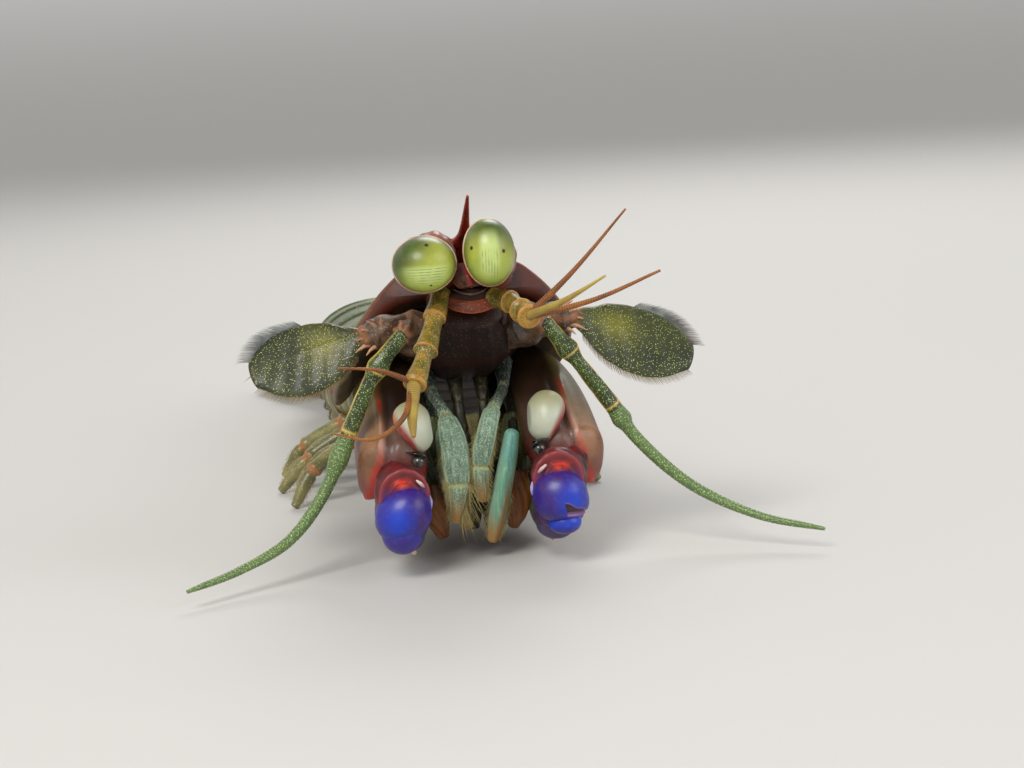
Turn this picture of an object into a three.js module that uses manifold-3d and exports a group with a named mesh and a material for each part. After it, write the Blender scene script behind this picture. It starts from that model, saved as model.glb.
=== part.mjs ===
// A reef mantis shrimp of the smashing kind, at life size, as a still model.
// Millimetres, +Z up. The animal looks along -Y, its own left side is +X, and the floor it stands on is z = 0.

import * as THREE from 'three';
import { mergeVertices } from 'three/addons/utils/BufferGeometryUtils.js';
import Module from 'manifold-3d';

const wasm = await Module();
wasm.setup();

// Clearance between neighbouring pieces, and the height of the floor
const GAP = 0.3;
const FLOOR = 0;
// Steps of the surface finer than this are smoothed away
const SMOOTHING = 0.05;

// Carapace: a shield from behind the eyes to the free thoracic somites
const CARAPACE_FRONT = 2.9;
const CARAPACE_BACK = 23.4;
const CARAPACE_HALF_WIDTH = [7.6, 8.3, 8.6, 8.6, 8.5];

// Free trunk: three thoracic somites, six abdominal somites and the telson
const THORAX_SOMITE = 3.6;
const THORAX_HALF_WIDTH = [7.2, 7.5, 7.9];
const ABDOMEN_FRONT = CARAPACE_BACK + 3 * THORAX_SOMITE;
const ABDOMEN_SOMITE = 6.6;
const ABDOMEN_HALF_WIDTH = [8.2, 8.4, 8.4, 8.3, 8.0, 7.0];
const LAST_SOMITE = 5.4;
const TELSON_FRONT = ABDOMEN_FRONT + 5 * ABDOMEN_SOMITE + LAST_SOMITE;
const TELSON_LENGTH = 10;

// Height of the back over the floor, as y and z along the middle of the body
const BACK_LINE = [[0, 22.5], [13, 17.9], [23, 14.2], [29, 12.9], [36, 12.5], [50, 12.4], [60, 11.8], [67, 10.4], [74, 7]];

// Eyes: each cornea's centre and its size across, along the body and upward, and where its stalk starts and ends
const EYE = {
  left: { at: [1.12, -3.5, 21.6], size: [3.7, 4.2, 4.8], stalk: [1.8, 1, 19.2], neck: [1.45, -2.3, 21.3] },
  right: { at: [-3.32, -3.5, 21.1], size: [4.6, 4.2, 4], stalk: [-1.6, 1, 19.4], neck: [-2.9, -2.3, 21.35] },
};
const STALK_THICK = 3;

// Claws: places of the joints of each folded claw, with the elbow low at the front
const CLAW = {
  left: { base: [4.6, 10, 11.4], elbow: [6.3, -0.9, 6.7], lobe: [4.9, -0.3, 9.8], dome: [4.9, -4, 4.8] },
  right: { base: [-4.6, 10, 11.4], elbow: [-6.2, -0.9, 6.8], lobe: [-4.75, -0.3, 9.8], dome: [-6, -4, 4.5] },
};

// Forms

const SIDES = { left: 1, right: -1 };
const TURN = 2 * Math.PI;

// The value at share t (0 to 1) of the way through a list of evenly spaced values
function along(list, t) {
  if (!Array.isArray(list)) return list;
  const at = t * (list.length - 1);
  const i = Math.min(Math.floor(at), list.length - 2);
  return THREE.MathUtils.lerp(list[i], list[i + 1], at - i);
}

// A closed solid from points and triangles, turned so that its faces point out
function closedSolid(points, faces) {
  let volume = 0;
  for (const [a, b, c] of faces) {
    volume += points[a].dot(new THREE.Vector3().crossVectors(points[b], points[c]));
  }
  const turned = volume < 0 ? faces.map(([a, b, c]) => [a, c, b]) : faces;
  const vertProperties = new Float32Array(points.flatMap((p) => p.toArray()));
  const triVerts = new Uint32Array(turned.flat());
  return new wasm.Manifold(new wasm.Mesh({ numProp: 3, vertProperties, triVerts }));
}

// A closed solid from a row of rings with the same number of points. `cap` lists the triangles that close an end.
function ringSolid(rings, cap) {
  const count = rings[0].length;
  const points = rings.flat();
  const end = (rings.length - 1) * count;
  const fan = cap ?? Array.from({ length: count - 2 }, (_, i) => [0, i + 1, i + 2]);
  const faces = fan.flatMap(([a, b, c]) => [[a, c, b], [end + a, end + b, end + c]]);
  for (let i = 0; i < count; i++) {
    const next = (i + 1) % count;
    for (let row = 0; row < end; row += count) {
      faces.push([row + i, row + next, row + count + next], [row + i, row + count + next, row + count + i]);
    }
  }
  return closedSolid(points, faces);
}

// A limb: an oval section carried along a smooth curve. `wide` runs along the direction `across`, `thick` across it.
// `dome` rounds each end, as a share of the section's half thickness. `grow` makes the whole form larger all round.
function limb(form, grow = 0) {
  const { path, wide, thick = wide, across = [1, 0, 0], sides = 10, steps = 6, dome = [0.5, 0.5], power = 2 } = form;
  const curve = new THREE.CatmullRomCurve3(path.map((p) => new THREE.Vector3(...p)), false, 'centripetal');
  const ringAt = (t, shift, scale) => {
    const forward = curve.getTangent(t);
    const right = new THREE.Vector3(...across).addScaledVector(forward, -forward.dot(new THREE.Vector3(...across)));
    right.normalize();
    const up = new THREE.Vector3().crossVectors(forward, right);
    const centre = curve.getPoint(t).addScaledVector(forward, shift);
    const halfWide = (along(wide, t) / 2 + grow) * scale;
    const halfThick = (along(thick, t) / 2 + grow) * scale;
    return Array.from({ length: sides }, (_, i) => {
      const angle = (TURN * (i + 0.5)) / sides;
      const x = Math.sign(Math.cos(angle)) * Math.abs(Math.cos(angle)) ** (2 / power);
      const y = Math.sign(Math.sin(angle)) * Math.abs(Math.sin(angle)) ** (2 / power);
      return centre.clone().addScaledVector(right, x * halfWide).addScaledVector(up, y * halfThick);
    });
  };
  const angles = sides > 8 ? [0.4, 0.8] : [0.65];
  const reach = [0, 1].map((t) => Math.min(along(wide, t), along(thick, t)) / 2 + grow);
  const flat = dome.map((share) => grow * Math.max(0, 1 - share));
  const rings = [];
  if (dome[0] > 0) {
    for (const a of [...angles].reverse()) {
      const turn = (a * Math.PI) / 2;
      rings.push(ringAt(0, -flat[0] - reach[0] * dome[0] * Math.sin(turn), Math.cos(turn)));
    }
  }
  for (let i = 0; i <= steps; i++) {
    const shift = (i === steps ? flat[1] : 0) - (i === 0 ? flat[0] : 0);
    rings.push(ringAt(i / steps, shift, 1));
  }
  if (dome[1] > 0) {
    for (const a of angles) {
      const turn = (a * Math.PI) / 2;
      rings.push(ringAt(1, flat[1] + reach[1] * dome[1] * Math.sin(turn), Math.cos(turn)));
    }
  }
  return ringSolid(rings);
}

// A small cone-like spine, thick at its root and fine at its tip
function spine(from, to, thick, grow = 0) {
  return limb({ path: [from, to], wide: [thick, 0.2], sides: 5, steps: 1, dome: [0, 0] }, grow);
}

// An egg-like form
function egg({ at, size, sides = 16, rows = 10 }, grow = 0) {
  const geometry = new THREE.SphereGeometry(1, sides, rows);
  geometry.deleteAttribute('normal');
  geometry.deleteAttribute('uv');
  geometry.rotateX(Math.PI / 2);
  geometry.scale(...size.map((whole) => whole / 2 + grow));
  geometry.translate(...at);
  const merged = mergeVertices(geometry, 1e-4);
  const place = merged.getAttribute('position');
  const points = Array.from({ length: place.count }, (_, i) => new THREE.Vector3().fromBufferAttribute(place, i));
  const index = Array.from(merged.getIndex().array);
  const faces = Array.from({ length: index.length / 3 }, (_, i) => index.slice(3 * i, 3 * i + 3));
  return closedSolid(points, faces);
}

// Half of a section across the body, mirrored into a whole ring and moved outward by `grow`
function sectionRing(half, halfWidth, depth, grow) {
  const right = half.map(([x, z]) => new THREE.Vector2(x * halfWidth, z * depth));
  const left = right.slice(1, -1).reverse().map((p) => new THREE.Vector2(-p.x, p.y));
  const ring = [...right, ...left];
  const normal = (a, b) => new THREE.Vector2(-(b.y - a.y), b.x - a.x).normalize();
  return ring.map((p, i) => {
    const before = normal(ring.at(i - 1), p);
    const after = normal(p, ring[(i + 1) % ring.length]);
    const out = before.clone().add(after).normalize();
    const reach = grow / Math.max(0.5, out.dot(before));
    return p.clone().addScaledVector(out, reach);
  });
}

// Triangles that close a hollow-sided ring, turning the same way as the ring
function capOf(ring) {
  const { area, triangulateShape } = THREE.ShapeUtils;
  const turn = Math.sign(area(ring));
  const faces = triangulateShape(ring, []);
  return faces.map(([a, b, c]) => (area([ring[a], ring[b], ring[c]]) * turn > 0 ? [a, b, c] : [a, c, b]));
}

// A length of the body: one half section carried along Y. Each station is [y, top height, half width, depth].
function bodyForm(half, stations, grow = 0) {
  const sections = stations.map(([, , halfWidth, depth]) => sectionRing(half, halfWidth, depth, grow));
  const rings = stations.map(([y, top], i) => {
    const shift = i === 0 ? -grow : i === stations.length - 1 ? grow : 0;
    return sections[i].map((p) => new THREE.Vector3(p.x, y + shift, top + p.y));
  });
  return ringSolid(rings, capOf(sections[0]));
}

const backCurve = new THREE.CatmullRomCurve3(BACK_LINE.map(([y, z]) => new THREE.Vector3(0, y, z)), false, 'centripetal');
const backPoints = backCurve.getPoints(200);

// Height of the back at y
function backHeight(y) {
  const i = Math.max(1, backPoints.findIndex((p) => p.y >= y));
  const [a, b] = [backPoints[i - 1], backPoints[i]];
  return THREE.MathUtils.lerp(a.z, b.z, (y - a.y) / (b.y - a.y));
}

function join(forms) {
  return wasm.Manifold.union(forms);
}

// Half sections, as share of the half width and height under the back
const SHIELD = [
  [0, 0], [0.25, -0.2], [0.48, -0.9], [0.7, -2.2], [0.88, -3.8], [1, -5.6],
  [0.97, -6.4], [0.88, -5.9], [0.76, -4.6], [0.5, -3.5], [0, -3],
];
const SOMITE = [
  [0, 0], [0.22, -0.05], [0.45, -0.35], [0.7, -1.2], [0.9, -2.9], [1, -5.2],
  [0.97, -7.2], [0.88, -7.7], [0.78, -7], [0.5, -6.5], [0, -6.6],
];
const CORE = [[0, 0], [0.6, 0], [0.9, -0.8], [1, -2.4], [0.85, -4], [0.5, -4.8], [0, -5]];
const FAN = [[0, 0], [0.35, -0.1], [0.68, -0.35], [0.92, -0.75], [1, -1.1], [0.9, -1.45], [0.5, -1.6], [0, -1.6]];

// Pieces, each with a name, a colour and a function that makes it at any growth.
// An earlier piece keeps its whole form, and a later one is cut back from it by the clearance.
const pieces = [];

function piece(name, colour, roughness, make) {
  pieces.push({ name, colour, roughness, make });
}

function pair(name, colour, roughness, make) {
  for (const [word, side] of Object.entries(SIDES)) {
    piece(`${name}_${word}`, colour, roughness, (grow) => make(side, word, grow));
  }
}

// Corneas

pair('cornea', 0x9fbf2e, 0.15, (side, word, grow) => egg({ at: EYE[word].at, size: EYE[word].size }, grow));

// Carapace and the plate with the long spine in front of it

piece('carapace', 0x6a5a2e, 0.35, (grow) => {
  const count = CARAPACE_HALF_WIDTH.length * 2;
  const stations = Array.from({ length: count }, (_, i) => {
    const t = i / (count - 1);
    const y = THREE.MathUtils.lerp(CARAPACE_FRONT, CARAPACE_BACK - GAP / 2, t);
    const round = i === 0 ? 0.97 : 1;
    return [y, backHeight(y) - (1 - round) * 6, along(CARAPACE_HALF_WIDTH, t) * round, round];
  });
  return bodyForm(SHIELD, stations, grow);
});

piece('rostral_plate', 0xa8321c, 0.3, (grow) => join([
  limb({ path: [[0, 2.6, 20.9], [0, 0.7, 22.2]], wide: [5.6, 5.4, 4.2], thick: 0.9, steps: 2, sides: 8, dome: [0, 0.8] }, grow),
  limb({
    path: [[0, 1.9, 21.6], [0, -0.7, 23.4], [0, -3, 25.4]], wide: [2.2, 0.8, 0.5, 0.2], thick: [0.8, 0.7, 0.5, 0.2],
    sides: 6, steps: 4, dome: [0, 0],
  }, grow),
  ...[-1, 1].map((side) => spine([side * 1.9, 1.5, 21.6], [side * 2.5, -0.4, 22.5], 0.8, grow)),
]));

// Head: eye somite, antennular somite with its lip-like front edge, and the mouth region below

piece('head', 0x7a3418, 0.45, (grow) => join([
  limb({ path: [[0, 2.4, 19.5], [0, 0.6, 19.6]], wide: [4.4, 4.2], thick: 1.9, steps: 1, sides: 8, dome: [0, 0.7] }, grow),
  limb({ path: [[0, 2.4, 17.9], [0, -1.7, 18.3]], wide: [5.4, 4.8, 3.6], thick: [2.2, 1.9, 1.4], steps: 2, sides: 8 }, grow),
  limb({
    path: [[0, -0.6, 17], [0, 2.3, 14.4], [0, 5.3, 12.8]], wide: [4.4, 5.8, 4.8], thick: [2.2, 3.2, 2.5], steps: 4,
  }, grow),
]));

pair('eyestalk', 0x9a5a26, 0.35, (side, word, grow) => {
  const { stalk, neck } = EYE[word];
  return limb({ path: [stalk, neck], wide: [2.4, STALK_THICK, STALK_THICK + 0.4], steps: 3, sides: 10 }, grow);
});

piece('thorax_core', 0x6e4a2a, 0.5, (grow) => {
  const widths = [4.2, 4.8, 5.4, 5.9, 6.2];
  const stations = widths.map((halfWidth, i) => {
    const y = THREE.MathUtils.lerp(6.2, CARAPACE_BACK - GAP / 2, i / (widths.length - 1));
    return [y, backHeight(y) - 3.2, halfWidth, 1];
  });
  return bodyForm(CORE, stations, grow);
});

// Trunk somites: each starts a little narrower, tucked behind the one in front, and ends in a raised rim

function somite(from, to, halfWidth, depth, grow) {
  const steps = [[0, 0.95], [0.2, 0.995], [0.86, 1], [0.9, 1.02], [1, 1.015]];
  const stations = steps.map(([t, scale]) => {
    const y = THREE.MathUtils.lerp(from + GAP / 2, to - GAP / 2, t);
    return [y, backHeight(y) - (1 - scale) * 6, halfWidth * scale, depth * scale];
  });
  return bodyForm(SOMITE, stations, grow);
}

THORAX_HALF_WIDTH.forEach((halfWidth, i) => {
  piece(`thoracic_somite_${i + 6}`, 0x5c6a30, 0.4, (grow) => {
    const from = CARAPACE_BACK + i * THORAX_SOMITE;
    return somite(from, from + THORAX_SOMITE, halfWidth, 0.92, grow);
  });
});

ABDOMEN_HALF_WIDTH.forEach((halfWidth, i) => {
  piece(`abdominal_somite_${i + 1}`, 0x58682e, 0.4, (grow) => {
    const last = i === 5;
    const from = ABDOMEN_FRONT + i * ABDOMEN_SOMITE;
    const to = from + (last ? LAST_SOMITE : ABDOMEN_SOMITE);
    const forms = [somite(from, to, halfWidth, [1, 1, 1, 0.98, 0.88, 0.66][i], grow)];
    if (last) {
      for (const x of [-5.4, -3.4, -1.3, 1.3, 3.4, 5.4]) {
        const top = backHeight(to) - 0.011 * x * x * Math.abs(x);
        forms.push(limb({
          path: [[x, from + 1.6, top + 1.5], [x, to - 1.2, top + 0.4], [x, to + 0.1, top - 0.3]],
          wide: [0.5, 1.3, 1.1, 0.3], sides: 5, steps: 2, dome: [0, 0],
        }, grow));
      }
    }
    return join(forms);
  });
});

// Telson: a broad end plate with swollen keels and three pairs of teeth

const TELSON_SLOPE = 0.46;
const telsonTop = (y) => 6.3 - TELSON_SLOPE * (y - TELSON_FRONT);

piece('telson', 0x4d6430, 0.35, (grow) => {
  const widths = [4.8, 6.1, 6.5, 6.4, 5.4, 3.6];
  const plate = bodyForm(FAN, widths.map((halfWidth, i) => {
    const y = TELSON_FRONT + GAP / 2 + (TELSON_LENGTH * i) / (widths.length - 1);
    return [y, telsonTop(y), halfWidth, 1];
  }), grow);
  const keels = [[0, 1.2, 8.6, 1.9], [2.1, 1.8, 8.6, 1.4], [4.2, 2.2, 7.6, 1.2]].flatMap(([x, from, to, thick]) => {
    const middle = (from + to) / 2;
    return (x ? [-x, x] : [0]).map((place) => limb({
      path: [from, middle, to].map((y) => [place, TELSON_FRONT + y, telsonTop(TELSON_FRONT + y) - 0.15 - 0.01 * x * x]),
      wide: [0.4, thick, thick * 0.8, 0.4], sides: 5, steps: 3, dome: [0, 0],
    }, grow));
  });
  const teeth = [-1, 1].flatMap((side) => [
    limb({
      path: [[side * 1.9, TELSON_FRONT + 8.4, 1.4], [side * 1.75, TELSON_FRONT + 10.2, 0.42], [side * 1.6, TELSON_FRONT + 12, 0.2]],
      wide: [2.4, 1.5, 0.4], thick: [1.3, 1.1, 0.5], sides: 6, steps: 3, dome: [0, 0.5],
    }, grow),
    spine([side * 4.4, TELSON_FRONT + 7.6, 1.7], [side * 4.1, TELSON_FRONT + 10.7, 0.75], 1.5, grow),
    spine([side * 5.7, TELSON_FRONT + 4.6, 3], [side * 6.2, TELSON_FRONT + 7.6, 2.1], 1.2, grow),
  ]);
  return join([plate, ...keels, ...teeth]);
});

// Folded striking claws: merus forward, carpus dome at the elbow, propodus back under it, dactyl with its heel

pair('raptorial_carpus', 0x2a2fb0, 0.15, (side, word, grow) => {
  const { elbow, dome } = CLAW[word];
  return limb({
    path: [[elbow[0], elbow[1] - 0.8, elbow[2] + 0.2], [(elbow[0] + dome[0]) / 2, -3, 5.9], dome, [dome[0], -3.8, 3.6]],
    wide: [3.2, 3.9, 4.1, 3.5], thick: [3, 3.6, 3.8, 3], sides: 12, steps: 4, dome: [0.6, 0.8],
  }, grow);
});

pair('raptorial_propodus', 0x7f8a5a, 0.3, (side, word, grow) => limb({
  path: [[CLAW[word].dome[0] * 0.97, -3, 2.3], [side * 5, 2.4, 3.3], [side * 4.8, 9.4, 5.2]],
  wide: [2.4, 3, 2.9, 2.2], thick: [1.8, 3, 2.9, 2], steps: 6,
}, grow));

pair('raptorial_dactyl', 0xb0563a, 0.3, (side, word, grow) => limb({
  path: [[side * 4.7, 11.6, 4.5], [side * 4.7, 9.4, 2.9], [side * 4.9, 4, 1.35], [side * 5, -0.4, 0.8]],
  wide: [1.6, 2.8, 1.6, 1.1, 0.8, 0.35], thick: [1.8, 2.6, 1.5, 1.2, 0.9, 0.4], steps: 10,
  sides: 8, dome: [0.8, 0.4],
}, grow));

pair('raptorial_merus', 0xc99a80, 0.35, (side, word, grow) => {
  const { base, elbow, lobe } = CLAW[word];
  return join([
    limb({
      path: [base, [side * 5.6, 4.5, 9.5], elbow], wide: [3.6, 4.9, 5.1, 4.7], thick: [4.4, 5.4, 5.4, 4.7],
      steps: 6, dome: [0.5, 0.6], power: 2.4,
    }, grow),
    egg({ at: lobe, size: [2.9, 3.2, 3.6], sides: 10, rows: 6 }, grow),
  ]);
});

// Antennae: a broad base that also carries the scale, two long joints, and a whip with raised rings

const ANTENNA = {
  left: [[5.05, -1, 16.3], [6.7, -1, 14.05], [9.45, -1, 10.1], [11, -1.2, 7.7], [14.3, -2.6, 4.4], [18.4, -5, 2.3], [22.4, -7.6, 1.5]],
  right: [[-4.85, -1, 16.2], [-6.85, -1, 13.8], [-8.9, -1, 9.8], [-11.1, -1.2, 5.5], [-13.6, -2.8, 3], [-17, -5, 1.8], [-20.6, -7.6, 1.3]],
};
const SCALE = {
  left: { hinge: [7.3, 0.1, 16.4], tip: [15.3, 0, 12.9] },
  right: { hinge: [-7.4, 0.1, 16.1], tip: [-15, 0, 14.1] },
};

pair('antenna', 0x5f7a2c, 0.4, (side, word, grow) => {
  const route = ANTENNA[word];
  const { hinge } = SCALE[word];
  return join([
    limb({
      path: [[side * 2.4, 3.6, 15.4], [side * 4.2, 1, 16], route[0]], wide: [3, 3.2, 2, 1.3], thick: [3, 3, 2, 1.3], steps: 4, sides: 8,
    }, grow),
    limb({ path: [[side * 4.2, 1, 16], hinge], wide: [2.2, 1.9, 1.2], across: [0, 0, 1], steps: 2, sides: 8 }, grow),
    spine([hinge[0] - side * 0.8, 0.2, hinge[2] + 0.3], [hinge[0] + side * 0.6, -0.3, hinge[2] + 1.5], 0.9, grow),
    limb({
      path: route,
      wide: [1, 1.1, 1.5, 1, 1.1, 1.1, 1.35, 0.9, 0.85, 0.85, 0.8, 0.75, 0.7, 0.65, 0.6, 0.55, 0.5, 0.45, 0.3],
      steps: 18, sides: 6,
    }, grow),
  ]);
});

pair('antennal_scale', 0x4f5c1e, 0.45, (side, word, grow) => {
  const { hinge, tip } = SCALE[word];
  const middle = [(hinge[0] + tip[0]) / 2, 0.3, (hinge[2] + tip[2]) / 2 - 0.2];
  return limb({
    path: [hinge, middle, tip], wide: [1.3, 3.6, 5, 5.2, 4.5, 2.2], thick: [0.7, 0.7, 0.6], across: [side * 0.28, 0.58, 0.75],
    sides: 10, steps: 8, dome: [0, 1],
  }, grow);
});

// Antennules: three bell-like joints and three whips

const ANTENNULE = {
  left: {
    joints: [[1.5, -1.7, 18.3], [2.5, -3.1, 18.1], [2.9, -5.1, 17.7], [3.1, -7, 17.5]],
    whips: [
      [[3.1, -6.9, 17.6], [6.2, -7.7, 20.5], [9.7, -8, 24.2]],
      [[3.1, -7, 17.6], [4.9, -10.4, 18.8], [7, -14, 20.6]],
      [[3.1, -6.9, 17.5], [7.4, -7.7, 18.4], [11.8, -8, 20]],
    ],
  },
  right: {
    joints: [[-1.5, -1.7, 18.3], [-2.5, -3, 17], [-3.8, -5, 15.5], [-4.8, -7, 13.6]],
    whips: [
      [[-4.8, -7, 13.7], [-5.3, -9.3, 12], [-5.5, -11.4, 11]],
      [[-4.9, -7, 13.7], [-6.1, -10.4, 11.9], [-8.2, -12, 11.1], [-10.6, -12.6, 11.8]],
      [[-4.9, -6.9, 13.8], [-7.2, -8, 14.9], [-9.8, -9, 15.4]],
    ],
  },
};

pair('antennule', 0xb08a3a, 0.3, (side, word, grow) => {
  const { joints, whips } = ANTENNULE[word];
  const bells = limb({
    path: joints, wide: [1.05, 1.3, 1.6, 1.05, 1.3, 1.6, 1.05, 1.4, 1.7], steps: 8, sides: 8, dome: [0, 0.25],
  }, grow);
  const lashes = whips.map((path, i) => {
    const thick = i === 0 ? [0.8, 0.7, 0.3] : [0.6, 0.55, 0.25];
    return limb({ path, wide: thick, steps: 5, sides: 6, dome: [0.5, 0.3] }, grow);
  });
  return join([bells, ...lashes]);
});

// Maxillipeds: a rod down from the mouth, a broad flat hand, and a narrow end. One of them shows as a smooth finger.

const HAND = [1.3, 1.1, 1, 0.9, 0.8, 0.75, 1, 1.85, 1.9, 1.3, 1, 0.85, 0.45];
const SMALL_HAND = [1.3, 1.1, 1, 0.9, 0.8, 0.75, 0.9, 1.35, 1.4, 1.1, 1, 0.8, 0.45];
const FINGER = [1.3, 1.1, 1, 0.9, 0.85, 0.9, 1.15, 1.15, 1.15, 1.1, 1.05, 0.95, 0.8];
const OVAL_HAND = [1.4, 1.2, 1.1, 1, 1, 1, 1.2, 2, 2.3, 1.8, 1.2, 1, 0.6];
const HAND_THICK = [1.3, 1.1, 1, 0.9, 0.8, 0.75, 0.8, 0.95, 0.95, 0.8, 0.75, 0.65, 0.45];
const MAXILLIPED = {
  3: {
    left: [SMALL_HAND, [[2.8, 5, 12.9], [2.3, 2.4, 11.4], [1.1, -0.9, 10.2], [0.1, -1.95, 7], [0, -1.7, 4.3]]],
    right: [HAND, [[-2.9, 5, 12.9], [-2.75, 2.4, 11.5], [-2.05, -0.6, 9.8], [-1.75, -1.9, 5.9], [-2.1, -1.7, 3]]],
  },
  4: {
    left: [FINGER, [[3, 7.4, 12], [2.9, 3.4, 10.2], [2.4, -0.4, 8.9], [1.6, -1.35, 5.2], [0.6, -1, 1.4]]],
    right: [HAND, [[-3, 7.4, 12], [-2.6, 4.4, 10.3], [-2, 1.8, 8.6], [-1.7, 0.8, 5], [-1, 0.4, 2]]],
  },
  5: {
    left: [OVAL_HAND, [[2.4, 9.6, 11.2], [2.3, 7.2, 9.3], [2.2, 5.3, 7.4], [2.1, 4.3, 4.8], [1.6, 4, 1.8]]],
    right: [OVAL_HAND, [[-2.4, 9.6, 11.2], [-2.3, 7.2, 9.3], [-2.2, 5.3, 7.4], [-2.1, 4.3, 4.8], [-1.6, 4, 1.8]]],
  },
};

for (const [number, sides] of Object.entries(MAXILLIPED)) {
  pair(`maxilliped_${number}`, 0x6f9a90, 0.35, (side, word, grow) => {
    const [wide, path] = sides[word];
    const thick = wide === FINGER ? FINGER : HAND_THICK;
    return limb({ path, wide, thick, steps: 12, sides: 8 }, grow);
  });
}

pair('maxilliped_1', 0x9a8a4a, 0.4, (side, word, grow) => limb({
  path: [[side * 0.9, 4.4, 12.6], [side * 0.9, 2.6, 10.6], [side * 0.8, 1.9, 8.6], [side * 0.6, 1.6, 6.6]],
  wide: [1.3, 0.9, 0.8, 1, 0.6], steps: 4, sides: 6,
}, grow));

// Walking legs: slender, with a short second branch, and a small flat where each stands on the floor

const LEG = [
  { y: 25.4, foot: [12.2, 21.6] },
  { y: 29, foot: [13, 28.2] },
  { y: 32.6, foot: [12.4, 34.6] },
];

LEG.forEach(({ y, foot }, i) => {
  pair(`walking_leg_${i + 1}`, 0x8a8f55, 0.4, (side, word, grow) => {
    const knee = [side * 7.4, y + (foot[1] - y) * 0.35, 4.5];
    const ankle = [side * 10.6, y + (foot[1] - y) * 0.75, 2.7];
    return join([
      limb({
        path: [[side * 3.6, y, 6.3], knee, ankle, [side * foot[0], foot[1], -0.4]],
        wide: [1.6, 1.5, 1.2, 1.1, 0.9], steps: 6, sides: 8,
      }, grow),
      limb({
        path: [knee, [side * 9.6, knee[1] + 1.7, 3.4], [side * 11.2, knee[1] + 2.4, 1.9]],
        wide: [0.9, 0.8, 0.5], steps: 2, sides: 6,
      }, grow),
    ]);
  });
});

// Swimming legs: a broad stalk, two leaf-like blades and a tuft of short gill threads

for (let i = 0; i < 5; i++) {
  pair(`pleopod_${i + 1}`, 0xa0a070, 0.45, (side, word, grow) => {
    const y = ABDOMEN_FRONT + (i + 0.3) * ABDOMEN_SOMITE;
    const top = backHeight(y) - 6.6 * [1, 1, 1, 0.98, 0.88][i];
    const place = (x, back, share) => [side * x, y + back, top * share];
    const gills = [0, 1, 2].map((n) => limb({
      path: [place(3.2 + 0.75 * n, 0.9, 0.7), place(3 + 0.8 * n, 2.8, 0.66)], wide: 0.5, steps: 1, sides: 4, dome: [0, 0],
    }, grow));
    return join([
      limb({ path: [place(3.6, 0, 1.05), place(3.9, 0.9, 0.62)], wide: [3.2, 2.8], thick: [1.3, 1], steps: 1, sides: 6 }, grow),
      limb({
        path: [place(4.9, 0.7, 0.7), place(5.6, 2.2, 0.42), place(5.8, 4.2, 0.2)], wide: [1.4, 3.2, 3, 1.4], thick: 0.6,
        steps: 3, sides: 6, dome: [0, 0.8],
      }, grow),
      limb({
        path: [place(3, 0.7, 0.7), place(2.4, 2, 0.4), place(2.2, 3.7, 0.18)], wide: [1.3, 2.6, 2.5, 1.1], thick: 0.6,
        steps: 3, sides: 6, dome: [0, 0.8],
      }, grow),
      ...gills,
    ]);
  });
}

// Tail fans: a base with a forked spine, an outer branch of two joints with movable spines, and an inner blade

pair('uropod', 0x3f6a4a, 0.35, (side, word, grow) => {
  const place = (x, back, z) => [side * x, TELSON_FRONT + back, z];
  const outer = [place(8, 2, 3.1), place(9.2, 4.6, 2.4), place(10, 7, 1.6)];
  const spines = Array.from({ length: 6 }, (_, n) => {
    const t = 0.15 + 0.16 * n;
    const root = place(8.8 + 2 * t, 2.2 + 4.6 * t, 3 - 1.3 * t);
    const reach = 0.9 + 0.9 * t;
    return spine(root, [root[0] + side * reach * 0.75, root[1] + reach, root[2] - 0.2], 0.55, grow);
  });
  return join([
    limb({ path: [place(5.9, -0.8, 3.9), place(7.3, 2.4, 3.1)], wide: [3.2, 3.2, 2.4], thick: [1.8, 1.6, 1.2], steps: 2, sides: 8 }, grow),
    spine(place(6.3, 1.6, 2.5), place(5.9, 7.6, 0.6), 1.2, grow),
    spine(place(7, 1.8, 2.6), place(7.2, 6, 0.9), 1, grow),
    limb({ path: outer, wide: [1.6, 2.6, 2.2], thick: [1, 0.9], steps: 3, sides: 6 }, grow),
    limb({ path: [outer[2], place(10.9, 11.4, 0.8)], wide: [1.6, 3.4, 3.2, 1.8], thick: 0.7, steps: 4, sides: 6, dome: [0.5, 1] }, grow),
    limb({
      path: [place(7.5, 2.6, 2.5), place(7.9, 6.2, 1.6), place(8, 10.4, 0.8)], wide: [1.3, 2.4, 2.8, 1.6], thick: 0.7,
      steps: 4, sides: 6, dome: [0.5, 1],
    }, grow),
    ...spines,
  ]);
});

// Assembly: cut each piece back from the earlier ones that it meets, keep its main body, and rest it on the floor

function boxesMeet(a, b) {
  const [p, q] = [a.boundingBox(), b.boundingBox()];
  return [0, 1, 2].every((k) => p.min[k] <= q.max[k] && q.min[k] <= p.max[k]);
}

const group = new THREE.Group();
const grown = [];
for (const { name, colour, roughness, make } of pieces) {
  let body = make(0).trimByPlane([0, 0, 1], FLOOR);
  for (const other of grown) {
    if (boxesMeet(body, other)) body = body.subtract(other);
  }
  const bodies = body.decompose().sort((a, b) => b.volume() - a.volume());
  const kept = bodies[0].simplify(SMOOTHING);
  grown.push(make(GAP));
  const mesh = kept.getMesh();
  const geometry = new THREE.BufferGeometry();
  geometry.setAttribute('position', new THREE.BufferAttribute(mesh.vertProperties, 3));
  geometry.setIndex(new THREE.BufferAttribute(mesh.triVerts, 1));
  geometry.computeVertexNormals();
  const shown = new THREE.Mesh(geometry, new THREE.MeshStandardMaterial({ color: colour, roughness, metalness: 0 }));
  shown.name = name;
  group.add(shown);
}

// The origin is under the middle of the whole animal, on the floor
const whole = new THREE.Box3().setFromObject(group);
const centre = whole.getCenter(new THREE.Vector3());
group.position.set(-centre.x, -centre.y, -whole.min.z);
group.updateMatrixWorld(true);

export default group;
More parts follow.
